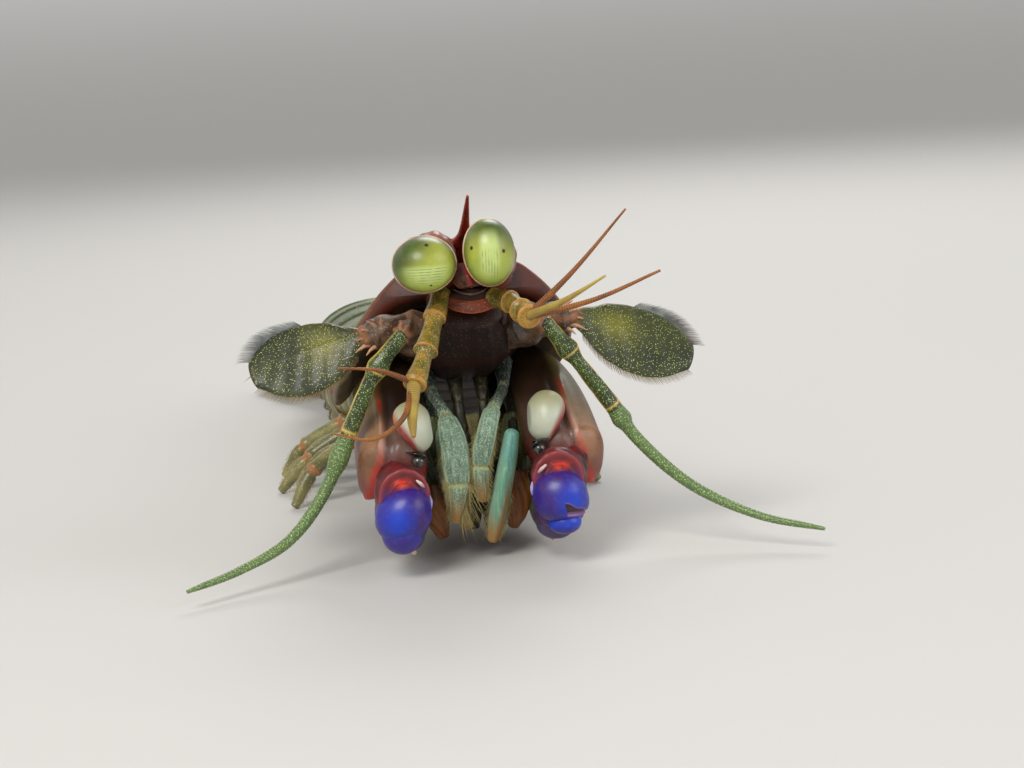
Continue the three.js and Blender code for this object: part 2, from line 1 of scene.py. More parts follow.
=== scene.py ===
import bpy
import numpy as np
from mathutils import Matrix, Vector
from mathutils.geometry import tessellate_polygon


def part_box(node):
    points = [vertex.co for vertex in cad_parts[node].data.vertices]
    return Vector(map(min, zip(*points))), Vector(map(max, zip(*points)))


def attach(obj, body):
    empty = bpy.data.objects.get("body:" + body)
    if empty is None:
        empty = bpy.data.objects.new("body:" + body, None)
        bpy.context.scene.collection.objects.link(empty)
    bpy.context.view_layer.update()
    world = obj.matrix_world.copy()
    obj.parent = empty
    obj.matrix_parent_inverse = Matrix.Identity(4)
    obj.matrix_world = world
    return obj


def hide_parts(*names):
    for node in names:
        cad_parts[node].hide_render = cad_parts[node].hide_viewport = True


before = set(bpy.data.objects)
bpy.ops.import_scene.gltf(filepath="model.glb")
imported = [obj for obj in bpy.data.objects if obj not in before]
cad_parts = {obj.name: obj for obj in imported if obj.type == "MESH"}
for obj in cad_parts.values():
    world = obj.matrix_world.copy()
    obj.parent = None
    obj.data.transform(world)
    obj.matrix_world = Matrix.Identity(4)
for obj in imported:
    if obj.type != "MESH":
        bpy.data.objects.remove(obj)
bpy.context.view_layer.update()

# Camera, floor and light
# The animal is looked at from the front, a little from its right and from above, as a diver's camera sees it.
# A pale floor that curves up into walls all round, like a wide bowl, and three soft round lamps make the studio.

MM = 0.001
VIEW_TURN, VIEW_RISE, VIEW_ROLL = np.radians([-8.0, 9.0, 3.5])
VIEW_DISTANCE = 150.0
VIEW_AIM = np.array([2.65, 0.0, 12.0])
PIXELS_PER_MM = 14.4
SENSOR_WIDTH, PICTURE_WIDTH = 36.0, 1024.0
LEFT_EYE_CENTRE = np.array([1.12, -3.5, 21.6])

# The drawing's millimetres start in front of the frame's origin: the left cornea's box tells by how much.
eye_low, eye_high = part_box("cornea_left")
DRAWING_SHIFT = (np.array(eye_low) + np.array(eye_high)) * 500.0 - LEFT_EYE_CENTRE


def metres(points):
    """Points of the drawing (millimetres) as points of the frame (metres): shift, then divide by a thousand."""
    return (np.asarray(points, float) + DRAWING_SHIFT) * MM


def unit(vectors):
    """Vectors along the last axis, each divided by its own length."""
    vectors = np.asarray(vectors, float)
    return vectors / np.maximum(np.linalg.norm(vectors, axis=-1, keepdims=True), 1e-12)


back = np.array([np.sin(VIEW_TURN) * np.cos(VIEW_RISE), -np.cos(VIEW_TURN) * np.cos(VIEW_RISE), np.sin(VIEW_RISE)])
level = unit(np.cross(-back, [0.0, 0.0, 1.0]))
rise = np.cross(level, -back)
across_view = level * np.cos(VIEW_ROLL) - rise * np.sin(VIEW_ROLL)
up_view = level * np.sin(VIEW_ROLL) + rise * np.cos(VIEW_ROLL)
spot = metres(VIEW_AIM + back * VIEW_DISTANCE)
camera_data = bpy.data.cameras.new("camera")
camera_data.sensor_width = SENSOR_WIDTH
camera_data.lens = PIXELS_PER_MM * VIEW_DISTANCE * SENSOR_WIDTH / PICTURE_WIDTH
camera_data.clip_start = 0.01
camera = bpy.data.objects.new("camera", camera_data)
bpy.context.scene.collection.objects.link(camera)
turned = Matrix(np.column_stack([across_view, up_view, back]).tolist()).to_4x4()
camera.matrix_world = Matrix.Translation(Vector(spot.tolist())) @ turned
bpy.context.scene.camera = camera

LAMP_AIM = (0.0, -0.03, 0.012)
LAMPS = [
    ("key_lamp", (-0.16, -0.26, 0.30), 0.2, 1.15, (1.0, 0.97, 0.93)),
    ("fill_lamp", (0.30, -0.20, 0.16), 0.26, 0.4, (0.93, 0.96, 1.0)),
    ("rear_lamp", (0.10, 0.28, 0.30), 0.22, 0.75, (1.0, 0.98, 0.95)),
]
for name, place, size, power, tint in LAMPS:
    lamp = bpy.data.lights.new(name, "AREA")
    lamp.shape, lamp.size, lamp.energy, lamp.color = "DISK", size, power, tint
    stand = bpy.data.objects.new(name, lamp)
    stand.location = place
    stand.rotation_euler = (Vector(LAMP_AIM) - Vector(place)).to_track_quat("-Z", "Y").to_euler()
    bpy.context.scene.collection.objects.link(stand)

world = bpy.data.worlds.new("studio")
world.use_nodes = True
sky = world.node_tree.nodes["Background"]
sky.inputs["Color"].default_value = (0.80, 0.82, 0.85, 1.0)
sky.inputs["Strength"].default_value = 0.3
bpy.context.scene.world = world
bpy.context.scene.view_settings.view_transform = "Standard"

# The studio floor's profile, radius and height in metres: flat, then a wide quarter turn up into a wall.
FLAT_RADIUS, BEND_RADIUS, WALL_TOP, FLOOR_SIDES = 0.6, 0.5, 1.0, 96
turn = np.linspace(0, np.pi / 2, 24)
bend = np.stack([FLAT_RADIUS + BEND_RADIUS * np.sin(turn), BEND_RADIUS - BEND_RADIUS * np.cos(turn)], -1)
profile = np.vstack([[[0.2, 0.0]], bend, [[FLAT_RADIUS + BEND_RADIUS, WALL_TOP]]])
circle = 2 * np.pi * np.arange(FLOOR_SIDES) / FLOOR_SIDES
bowl = np.stack([profile[:, :1] * np.cos(circle), profile[:, :1] * np.sin(circle),
                 np.broadcast_to(profile[:, 1:], (len(profile), FLOOR_SIDES))], -1)
index = np.arange(len(profile) * FLOOR_SIDES).reshape(len(profile), FLOOR_SIDES)
beside = np.roll(index, -1, 1)
sheets = np.stack([index[:-1], index[1:], beside[1:], beside[:-1]], -1).reshape(-1, 4)
floor_mesh = bpy.data.meshes.new("floor")
floor_mesh.from_pydata(bowl.reshape(-1, 3).tolist(), [], sheets.tolist() + [index[0].tolist()])
floor_mesh.shade_smooth()
floor = bpy.data.objects.new("floor", floor_mesh)
bpy.context.scene.collection.objects.link(floor)
floor_paint = bpy.data.materials.new("pale_floor")
floor_paint.use_nodes = True
floor_tree = floor_paint.node_tree
floor_shader = floor_tree.nodes["Principled BSDF"]
floor_shader.inputs["Base Color"].default_value = (0.56, 0.55, 0.53, 1.0)
floor_shader.inputs["Roughness"].default_value = 0.8
# The lamps stand too near to reach the walls, so the walls give off a little light of their own higher up.
floor_place = floor_tree.nodes.new("ShaderNodeTexCoord")
floor_split = floor_tree.nodes.new("ShaderNodeSeparateXYZ")
wall_glow = floor_tree.nodes.new("ShaderNodeMapRange")
wall_glow.interpolation_type = "SMOOTHSTEP"
wall_glow.inputs["From Max"].default_value, wall_glow.inputs["To Max"].default_value = 0.2, 0.5
floor_tree.links.new(floor_place.outputs["Object"], floor_split.inputs["Vector"])
floor_tree.links.new(floor_split.outputs["Z"], wall_glow.inputs["Value"])
floor_tree.links.new(wall_glow.outputs["Result"], floor_shader.inputs["Emission Strength"])
floor_mesh.materials.append(floor_paint)

# Carapace
# The shield over head and claws: one stiff, faintly translucent shell plate, olive brown with redder edges.
# Its section is a roof with turned-in margins, carried back along the falling line of the animal's back.

CARAPACE_FRONT, CARAPACE_BACK = 2.9, 23.25
CARAPACE_HALF_WIDTH = [7.6, 8.3, 8.6, 8.6, 8.5]
BACK_LINE = [[0, 22.5], [13, 17.9], [23, 14.2], [29, 12.9], [36, 12.5], [50, 12.4], [60, 11.8], [67, 10.4], [74, 7]]
SHIELD = [
    [0, 0], [0.25, -0.2], [0.48, -0.9], [0.7, -2.2], [0.88, -3.8], [1, -5.6],
    [0.97, -6.4], [0.88, -5.9], [0.76, -4.6], [0.5, -3.5], [0, -3],
]
GROOVE_PLACE, GROOVE_DEPTH, GROOVE_WIDTH = 0.36, 0.3, 0.028
# A plate's section shrinks at its ends about a place this far under the back.
SHRINK_DEPTH = 6.0


def smooth_line(points, t):
    """Places at shares t along a curve through the points: a cubic on each stretch, whose end slopes weigh the
    neighbouring stretches by the fourth root of their squared lengths, so that it neither loops nor overshoots."""
    points = np.asarray(points, float)
    whole = np.vstack([2 * points[0] - points[1], points, 2 * points[-1] - points[-2]])
    at = np.clip(np.asarray(t, float), 0, 1) * (len(points) - 1)
    i = np.minimum(at.astype(int), len(points) - 2)
    s = (at - i)[:, None]
    a, b, c, d = whole[i], whole[i + 1], whole[i + 2], whole[i + 3]
    span = lambda p, q: np.maximum(((p - q) ** 2).sum(1), 1e-9)[:, None] ** 0.25
    u, v, w = span(a, b), span(b, c), span(c, d)
    start = ((b - a) / u - (c - a) / (u + v) + (c - b) / v) * v
    end = ((c - b) / v - (d - b) / (v + w) + (d - c) / w) * v
    return b + start * s + (-3 * b + 3 * c - 2 * start - end) * s**2 + (2 * b - 2 * c + start + end) * s**3


def eased(values, t):
    """Evenly spaced values read at shares t: a cubic on each stretch whose slope at a value is the harmonic mean of
    the slopes beside it, or nothing at a peak, so that it never overshoots."""
    values = np.atleast_1d(np.asarray(values, float))
    t = np.clip(np.asarray(t, float), 0, 1)
    if len(values) == 1:
        return np.full(t.shape, values[0])
    rise = np.diff(values)
    product = rise[:-1] * rise[1:]
    inner = np.where(product > 0, 2 * product / np.where(product > 0, rise[:-1] + rise[1:], 1), 0)
    slope = np.concatenate([[rise[0]], inner, [rise[-1]]])
    at = t * (len(values) - 1)
    i = np.minimum(at.astype(int), len(values) - 2)
    s = at - i
    hermite = (2 * s**3 - 3 * s**2 + 1) * values[i] + (s**3 - 2 * s**2 + s) * slope[i]
    return hermite + (3 * s**2 - 2 * s**3) * values[i + 1] + (s**3 - s**2) * slope[i + 1]


def bump_at(x, place, width):
    """A bell curve: one at its place, falling away over its width."""
    return np.exp(-(((x - place) / width) ** 2))


def sheet_of_rings(rings, marks=None, flat_ends=False):
    """A grid of points (rows by places round the ring) as one closed surface: four-sided faces between the rows, and
    at each end a flat cap or a fan to the ring's middle. Faces are turned outward, by the first ring's way round
    where the caps are flat, and else by the sign of the volume."""
    rows, count = rings.shape[:2]
    index = np.arange(rows * count).reshape(rows, count)
    beside = np.roll(index, -1, 1)
    quads = np.stack([index[:-1], beside[:-1], beside[1:], index[1:]], -1).reshape(-1, 4)
    points = rings.reshape(-1, 3)
    if flat_ends:
        cap = np.array(tessellate_polygon([[Vector(p) for p in rings[0]]]))
        normal = np.cross(rings[0][cap[:, 1]] - rings[0][cap[:, 0]], rings[0][cap[:, 2]] - rings[0][cap[:, 0]]).sum(0)
        inward = (rings[1].mean(0) - rings[0].mean(0)) @ normal > 0
        first = cap if not inward else cap[:, ::-1]
        triangles = np.concatenate([first, first[:, ::-1] + index[-1, 0]])
        near = np.cross(rings[1] - rings[0], np.roll(rings[0], -1, 0) - rings[0])
        outward = (near * (rings[0] - rings[0].mean(0))).sum() > 0
        quads = quads if not outward else quads[:, ::-1]
    else:
        points = np.vstack([points, rings[0].mean(0), rings[-1].mean(0)])
        start = np.stack([np.full(count, rows * count), beside[0], index[0]], -1)
        end = np.stack([np.full(count, rows * count + 1), index[-1], beside[-1]], -1)
        triangles = np.concatenate([start, end])
        corners = points[quads]
        volume = (corners[:, 0] * np.cross(corners[:, 1], corners[:, 2])).sum()
        volume += (corners[:, 0] * np.cross(corners[:, 2], corners[:, 3])).sum()
        corners = points[triangles]
        volume += (corners[:, 0] * np.cross(corners[:, 1], corners[:, 2])).sum()
        if volume < 0:
            quads, triangles = quads[:, ::-1], triangles[:, ::-1]
    extra = 0 if flat_ends else 2
    kept = {}
    for mark, value in (marks or {}).items():
        value = np.broadcast_to(value, (rows, count)).astype(float)
        ends = [value[0].mean(), value[-1].mean()][:extra]
        kept[mark] = np.concatenate([value.ravel(), ends])
    return {"points": points, "quads": quads, "triangles": triangles, "marks": kept}


def shell_piece(name, surfaces, material, slot_name, *nodes, hair_root=None):
    """One object of one or more closed surfaces, in the frame's metres, smooth shaded, with its marks as attributes.
    Whatever would dip below the floor is pressed flat on it. Hair_root is each point's place on the unwrap."""
    points, quads, triangles, offset = [], [], [], 0
    for surface in surfaces:
        points.append(metres(surface["points"]))
        quads.append(surface["quads"] + offset)
        triangles.append(surface["triangles"] + offset)
        offset += len(surface["points"])
    points, quads, triangles = np.vstack(points), np.concatenate(quads), np.concatenate(triangles)
    points[:, 2] = np.maximum(points[:, 2], 0.0)
    mesh = bpy.data.meshes.new(name)
    loops = np.concatenate([quads.ravel(), triangles.ravel()]).astype(np.int32)
    totals = np.concatenate([np.full(len(quads), 4), np.full(len(triangles), 3)]).astype(np.int32)
    starts = np.concatenate([[0], np.cumsum(totals)[:-1]]).astype(np.int32)
    mesh.vertices.add(len(points))
    mesh.vertices.foreach_set("co", points.astype(np.float32).ravel())
    mesh.loops.add(len(loops))
    mesh.loops.foreach_set("vertex_index", loops)
    mesh.polygons.add(len(totals))
    mesh.polygons.foreach_set("loop_start", starts)
    mesh.polygons.foreach_set("loop_total", totals)
    mesh.update(calc_edges=True)
    mesh.validate()
    mesh.shade_smooth()
    for mark in sorted({m for surface in surfaces for m in surface["marks"]}):
        values = [s["marks"].get(mark, np.zeros(len(s["points"]))) for s in surfaces]
        layer = mesh.attributes.new(mark, "FLOAT", "POINT")
        layer.data.foreach_set("value", np.concatenate(values).astype(np.float32))
    if hair_root is not None:
        layer = mesh.uv_layers.new(name="OFBake")
        uv = hair_root[loops]
        layer.data.foreach_set("uv", uv.astype(np.float32).ravel())
    mesh.materials.append(material)
    made = bpy.data.objects.new(name, mesh)
    bpy.context.scene.collection.objects.link(made)
    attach(made, "root")
    if nodes:
        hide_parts(*nodes)
    return made


def colour(red, green, blue):
    """A screen colour, 0 to 255, as the linear colour a shader takes: the standard screen curve undone."""
    share = np.array([red, green, blue]) / 255.0
    linear = np.where(share <= 0.04045, share / 12.92, ((share + 0.055) / 1.055) ** 2.4)
    return (*linear.tolist(), 1.0)


def node(tree, kind, ins=None, **settings):
    """Adds a shader node, with its settings and its inputs, which are plain values or other nodes' sockets."""
    made = tree.nodes.new(kind)
    for key, value in settings.items():
        setattr(made, key, value)
    for key, value in (ins or {}).items():
        if isinstance(value, bpy.types.NodeSocket):
            tree.links.new(value, made.inputs[key])
        else:
            made.inputs[key].default_value = value
    return made


def tinted(tree, share, first, second):
    """The first colour turned towards the second by a share. Each is a screen colour or another node's socket."""
    first, second = (tone if isinstance(tone, bpy.types.NodeSocket) else colour(*tone) for tone in (first, second))
    return node(tree, "ShaderNodeMix", {0: share, 6: first, 7: second}, data_type="RGBA").outputs[2]


def ramp(tree, value, low, high, reverse=False):
    """A share that runs from 0 at low to 1 at high, smoothly, or back."""
    ends = (1.0, 0.0) if reverse else (0.0, 1.0)
    made = node(tree, "ShaderNodeMapRange", {"Value": value, "From Min": low, "From Max": high,
                                             "To Min": ends[0], "To Max": ends[1]}, interpolation_type="SMOOTHSTEP")
    return made.outputs["Result"]


def times(tree, first, second, how="MULTIPLY"):
    """Two values put together by one sum, a product unless it is told otherwise."""
    return node(tree, "ShaderNodeMath", {0: first, 1: second}, operation=how).outputs[0]


def mark_of(tree, name):
    """The value that the mesh carries under this name."""
    return node(tree, "ShaderNodeAttribute", attribute_name=name).outputs["Fac"]


def own_place(tree):
    """Where on the object a point lies."""
    return node(tree, "ShaderNodeTexCoord").outputs["Object"]


def mottle(tree, per_metre, low=0.35, high=0.65, detail=5.0):
    """Cloudy patches, as a share."""
    cloud = node(tree, "ShaderNodeTexNoise", {"Vector": own_place(tree), "Scale": per_metre, "Detail": detail})
    return ramp(tree, cloud.outputs["Fac"], low, high)


def specks(tree, per_metre, size=0.3, keep=0.6):
    """Round dots, one to a cell of a random mosaic, some of them missing, as a share."""
    mosaic = node(tree, "ShaderNodeTexVoronoi", {"Vector": own_place(tree), "Scale": per_metre})
    dot = ramp(tree, mosaic.outputs["Distance"], size * 0.75, size, reverse=True)
    lot = node(tree, "ShaderNodeSeparateColor", {"Color": mosaic.outputs["Color"]}).outputs["Red"]
    return times(tree, dot, ramp(tree, lot, keep, keep + 0.05, reverse=True))


def bare_material(name, rough=0.35, coat=0.3, flesh=0.12, flesh_colour=(1.0, 0.5, 0.25), depth=0.0006):
    """A material with its shader's plain values set: gloss, clear coat and how far light sinks in."""
    material = bpy.data.materials.new(name)
    material.use_nodes = True
    shader = material.node_tree.nodes["Principled BSDF"]
    shader.inputs["Roughness"].default_value = rough
    shader.inputs["Coat Weight"].default_value = coat
    shader.inputs["Coat Roughness"].default_value = 0.12
    shader.inputs["Subsurface Weight"].default_value = flesh
    shader.inputs["Subsurface Radius"].default_value = flesh_colour
    shader.inputs["Subsurface Scale"].default_value = depth
    return material, material.node_tree, shader


def pitted(tree, shader, per_metre=5200.0, strength=0.25, distance=0.00004):
    """Fine pits and grain in the surface, as shell has."""
    grain = node(tree, "ShaderNodeTexNoise", {"Vector": own_place(tree), "Scale": per_metre, "Detail": 3.0})
    pits = node(tree, "ShaderNodeTexVoronoi", {"Vector": own_place(tree), "Scale": per_metre * 0.45})
    height = times(tree, grain.outputs["Fac"], ramp(tree, pits.outputs["Distance"], 0.05, 0.3), "ADD")
    bump = node(tree, "ShaderNodeBump", {"Height": height, "Strength": strength, "Distance": distance})
    tree.links.new(bump.outputs["Normal"], shader.inputs["Normal"])


def painted(tree, shader, paint, coats, strength=0.25):
    """Lays coats over a first colour and gives the shader the result, with pits of this strength. A coat has a share,
    which is a socket or the name of a mark, an amount to multiply it by, and a colour."""
    for share, amount, tone in coats:
        share = mark_of(tree, share) if isinstance(share, str) else share
        paint = tinted(tree, share if amount == 1.0 else times(tree, share, amount), paint, tone)
    tree.links.new(paint, shader.inputs["Base Color"])
    pitted(tree, shader, strength=strength)


def shell_finish(name, base, deep, edge, speck, speck_scale=5200.0, speck_share=0.55, **kinds):
    """Shell: cloudy base and deep colours, pale specks, and its own colour wherever the mesh's edge mark is up."""
    material, tree, shader = bare_material(name, **kinds)
    painted(tree, shader, tinted(tree, mottle(tree, 420.0), base, deep), [
        (mottle(tree, 1500.0, 0.5, 0.72), 0.4, deep),
        (specks(tree, speck_scale, 0.32), speck_share, speck),
        ("edge", 1.0, edge)])
    return material


def back_height(y):
    """Height of the back over the floor at places y, read off the smooth back line."""
    line = smooth_line(BACK_LINE, np.linspace(0, 1, 400))
    return np.interp(y, line[:, 0], line[:, 1])


def body_rings(half, y, top, half_width, depth, relief=None, per_side=64):
    """Rings across the body at places y: the half section, smoothed and mirrored, scaled to the half width and depth,
    hung under the top line. Relief moves a point out along the section's own normal by millimetres. Gives the rings,
    and each point's share of the way round its half."""
    share = np.linspace(0, 1, per_side)
    right = smooth_line(half, share)
    left = right[1:-1][::-1] * [-1, 1]
    ring = np.vstack([right, left])
    around = np.concatenate([share, share[1:-1][::-1]])
    x = ring[None, :, 0] * half_width[:, None]
    z = ring[None, :, 1] * depth[:, None]
    if relief is not None:
        dx, dz = np.roll(x, -1, 1) - np.roll(x, 1, 1), np.roll(z, -1, 1) - np.roll(z, 1, 1)
        size = np.maximum(np.hypot(dx, dz), 1e-9)
        push = relief(np.linspace(0, 1, len(y))[:, None], around[None, :])
        x, z = x - push * dz / size, z + push * dx / size
    rings = np.stack([x, np.broadcast_to(y[:, None], x.shape), z + top[:, None]], -1)
    return rings, around


def carapace_relief(t, around):
    """Two long grooves, a swollen middle field, a bead along the margins and a raised bar at the rear edge."""
    outer = around < 0.5
    groove = -GROOVE_DEPTH * bump_at(around, GROOVE_PLACE * 0.5, GROOVE_WIDTH) * np.clip(1.3 - t, 0, 1)
    cross = -0.22 * bump_at(t, 0.62 + 0.25 * around, 0.025) * (around < 0.34)
    bead = 0.16 * bump_at(around, 0.47, 0.03)
    bar = 0.14 * bump_at(t, 0.975, 0.014) - 0.1 * bump_at(t, 0.945, 0.012)
    field = 0.15 * bump_at(around, 0, 0.12) * bump_at(t, 0.4, 0.4)
    return np.where(outer, groove + cross + bar + field, 0) + bead


rows = np.linspace(0, 1, 150)
y_rows = CARAPACE_FRONT + (CARAPACE_BACK - CARAPACE_FRONT) * rows
lip = 1 - 0.045 * np.clip(1 - rows / 0.035, 0, 1) ** 2 - 0.02 * np.clip((rows - 0.985) / 0.015, 0, 1) ** 2
rings, around = body_rings(SHIELD, y_rows, back_height(y_rows) - (1 - lip) * SHRINK_DEPTH,
                           eased(CARAPACE_HALF_WIDTH, rows) * lip, lip, carapace_relief, 90)
margin = bump_at(around, 0.5, 0.024)[None, :] + bump_at(rows, 0.012, 0.01)[:, None] \
    + 0.8 * bump_at(rows, 1, 0.014)[:, None]
marks = {"edge": np.clip(margin, 0, 1), "front": (rows <= 0)[:, None]}
carapace_paint, tree, shader = bare_material("carapace_shell", rough=0.52, coat=0.05, flesh=0.06)
shader.inputs["Specular IOR Level"].default_value = 0.35
painted(tree, shader, tinted(tree, mottle(tree, 420.0), (86, 56, 24), (42, 34, 16)), [
    (mottle(tree, 1500.0, 0.5, 0.72), 0.4, (42, 34, 16)),
    (specks(tree, 4800.0, 0.32), 0.5, (170, 140, 84)),
    ("edge", 0.8, (124, 56, 24)),
    ("front", 1.0, tinted(tree, mottle(tree, 700.0), (82, 30, 11), (46, 17, 7)))])
shell_piece("carapace_plate", [sheet_of_rings(rings, marks, flat_ends=True)], carapace_paint, "carapace", "carapace")

# Rostral plate
# The small hinged plate in front of the carapace, drawn out into one slender spine between the eyes and two side
# points. It is thin, red and lets light through.

ROSTRUM_PATH = [[0, 2.6, 20.9], [0, 1.6, 21.6], [0, 0.7, 22.2], [0, -0.7, 23.4], [0, -3, 25.4]]
ROSTRUM_WIDE = [5.5, 5.4, 5.2, 4.2, 1.6, 0.85, 0.62, 0.42, 0.2]
ROSTRUM_THICK = [0.9, 0.9, 0.85, 0.8, 0.7, 0.6, 0.5, 0.36, 0.2]
DOME_RINGS = 7


def limb_rings(path, wide, thick=None, across=(1, 0, 0), rows=60, sides=40, dome=(0.5, 0.5), power=2.0, relief=None):
    """An oval section carried along a smooth curve, as rings: across runs along one fixed direction, squared off by
    power, and each end rounded off by a quarter turn as long as dome times its half thickness. Relief adds
    millimetres outward at share t along and angle round the section. Gives the rings, t, the angles, and the centre,
    directions, half width and scale of each row."""
    thick = wide if thick is None else thick
    t = np.linspace(0, 1, rows)
    turns = np.linspace(0.08, 0.97, DOME_RINGS) * np.pi / 2
    t_all, shift, scale = [t], [np.zeros(rows)], [np.ones(rows)]
    for end, share in enumerate(dome):
        if share > 0:
            half = min(float(eased(wide, [end])[0]), float(eased(thick, [end])[0])) / 2
            turn = turns[::-1] if end == 0 else turns
            parts = (np.full(DOME_RINGS, float(end)), (1 if end else -1) * half * share * np.sin(turn), np.cos(turn))
            for whole, part in zip((t_all, shift, scale), parts):
                whole.insert(len(whole) if end else 0, part)
    t, shift, scale = np.concatenate(t_all), np.concatenate(shift), np.concatenate(scale)
    centre = smooth_line(path, t)
    step = 1e-3
    forward = unit(smooth_line(path, np.minimum(t + step, 1)) - smooth_line(path, np.maximum(t - step, 0)))
    reference = np.broadcast_to(np.asarray(across, float), forward.shape)
    right = unit(reference - forward * (forward * reference).sum(1, keepdims=True))
    up = np.cross(forward, right)
    centre = centre + forward * shift[:, None]
    angle = 2 * np.pi * (np.arange(sides) + 0.5) / sides
    cos, sin = np.cos(angle), np.sin(angle)
    x = np.sign(cos) * np.abs(cos) ** (2 / power)
    y = np.sign(sin) * np.abs(sin) ** (2 / power)
    half_wide, half_thick = eased(wide, t) / 2, eased(thick, t) / 2
    extra = np.zeros((len(t), sides)) if relief is None else relief(t[:, None], angle[None, :])
    reach_x = (half_wide[:, None] * x[None, :] + extra * cos[None, :]) * scale[:, None]
    reach_y = (half_thick[:, None] * y[None, :] + extra * sin[None, :]) * scale[:, None]
    rings = centre[:, None] + reach_x[..., None] * right[:, None] + reach_y[..., None] * up[:, None]
    row = {"centre": centre, "forward": forward, "right": right, "half_wide": half_wide * scale, "scale": scale}
    return rings, t, angle, row


def limb(path, wide, thick=None, edge=None, **shape):
    """A limb's closed surface, with marks for the share along it, the sides it faces, and its edge."""
    rings, t, angle, _ = limb_rings(path, wide, thick, **shape)
    marks = {"along": t[:, None], "facing": np.cos(angle)[None, :], "upward": np.sin(angle)[None, :]}
    marks["edge"] = np.zeros((1, 1)) if edge is None else np.clip(edge(t[:, None], angle[None, :]), 0, 1)
    return sheet_of_rings(rings, marks)


red_glass = shell_finish("rostrum_shell", (138, 38, 18), (88, 22, 12), (176, 62, 28), (200, 104, 62), rough=0.4,
                         coat=0.15, flesh=0.45)
keel = lambda t, a: 0.22 * bump_at(np.sin(a), 1, 0.05) * np.clip(1.2 - t, 0, 1)
rim_red = lambda t, a: bump_at(np.abs(np.cos(a)), 1, 0.02) + 0.7 * bump_at(t, 0.0, 0.05)
rostrum = [limb(ROSTRUM_PATH, ROSTRUM_WIDE, ROSTRUM_THICK, rows=110, sides=64, dome=(0.3, 0.5), relief=keel,
                edge=rim_red)]
for s in (-1, 1):
    rostrum.append(limb([[s * 1.7, 1.8, 21.45], [s * 2.2, 0.6, 22], [s * 2.6, -0.4, 22.45]], [1.1, 0.8, 0.45, 0.15],
                        [0.8, 0.6, 0.35, 0.12], rows=30, sides=20))
shell_piece("rostral_spine_plate", rostrum, red_glass, "rostrum", "rostral_plate")

# Head
# The narrow front of the head: the ring that carries the eyes, the one that carries the antennules, whose front
# edge is an orange lip under a pale fold, and the grooved mouth region below, with painted shade in its recess
# and grooves. All of it is one shell.

LIP = [[-1.95, -1.5, 18.5], [-1.05, -2.1, 18.02], [0.05, -2.34, 17.85], [1.1, -2.1, 18.0], [2.0, -1.5, 18.42]]
PALE_FOLD = [[-1.25, -1.6, 19.1], [-0.6, -2.0, 18.8], [0.0, -2.15, 18.7], [0.6, -2.0, 18.8], [1.2, -1.6, 19.08]]

head_paint, tree, shader = bare_material("head_shell", rough=0.6, coat=0.03, flesh=0.08)
shader.inputs["Specular IOR Level"].default_value = 0.3
at = node(tree, "ShaderNodeSeparateXYZ", {"Vector": own_place(tree)})
# Painted shade: the colour darkens towards the bottom, into the shaded recess of the mouth. The edge mark's
# near-black paints shade into the mouth's grooves, and it also darkens the ring's front end.
low_z, high_z = metres([0, 0, 15.8])[2], metres([0, 0, 18.8])[2]
painted(tree, shader, tinted(tree, ramp(tree, at.outputs["Z"], low_z, high_z), (20, 10, 7), (70, 32, 18)), [
    (mottle(tree, 900.0), 0.6, (40, 18, 12)),
    (specks(tree, 5200.0, 0.3), 0.3, (150, 100, 70)),
    ("edge", 1.0, (46, 17, 10))], strength=0.4)

front_dark = lambda t, a: np.clip((t - 0.8) / 0.15, 0, 1) * 0.85
head = [limb([[0, 2.4, 17.9], [0, 0.4, 18.1], [0, -1.7, 18.3]], [5.4, 4.8, 3.7], [2.2, 1.9, 1.45], rows=60, sides=72,
             dome=(0.5, 0.45), power=2.3, edge=front_dark)]
folds = lambda t, a: 0.07 * np.sin(30 * t + 1.0) * (np.sin(a) > -0.5)
head.append(limb([[0, 2.4, 19.5], [0, 1.6, 19.55], [0, 0.4, 19.6]], [4.4, 4.3, 4.0], 1.85, rows=60, sides=64,
                 dome=(0.4, 0.9), relief=folds))
mouth_fold = lambda t, a: 0.2 * bump_at(t, 0.3, 0.03) - 0.35 * bump_at(t, 0.42, 0.03) + 0.2 * bump_at(t, 0.6, 0.05)
mouth_relief = lambda t, a: mouth_fold(t, a) * (np.sin(a) < 0.2) - 0.22 * bump_at(np.cos(a), 0, 0.05) \
    + 0.16 * bump_at(np.abs(np.cos(a)), 0.45, 0.1)
# Painted shade, through the edge mark: in the mouth's cross groove, along its middle groove and towards its rear.
mouth_painted_shade = lambda t, a: 0.8 * bump_at(t, 0.42, 0.05) + 0.8 * bump_at(np.cos(a), 0, 0.06) \
    + 0.7 * np.clip((t - 0.6) * 3, 0, 1)
head.append(limb([[0, -0.6, 17], [0, 2.3, 14.4], [0, 5.3, 12.8]], [4.4, 5.8, 4.8], [2.2, 3.2, 2.5], rows=110,
                 sides=90, relief=mouth_relief, edge=mouth_painted_shade))
for s in (-1, 1):
    head.append(limb([[s * 1.5, 1.0, 17.2], [s * 2.1, -0.2, 16.9], [s * 2.2, -1.0, 16.4]], [1.2, 0.9, 0.35],
                     rows=30, sides=24))
shell_piece("head_front", head, head_paint, "head", "head")

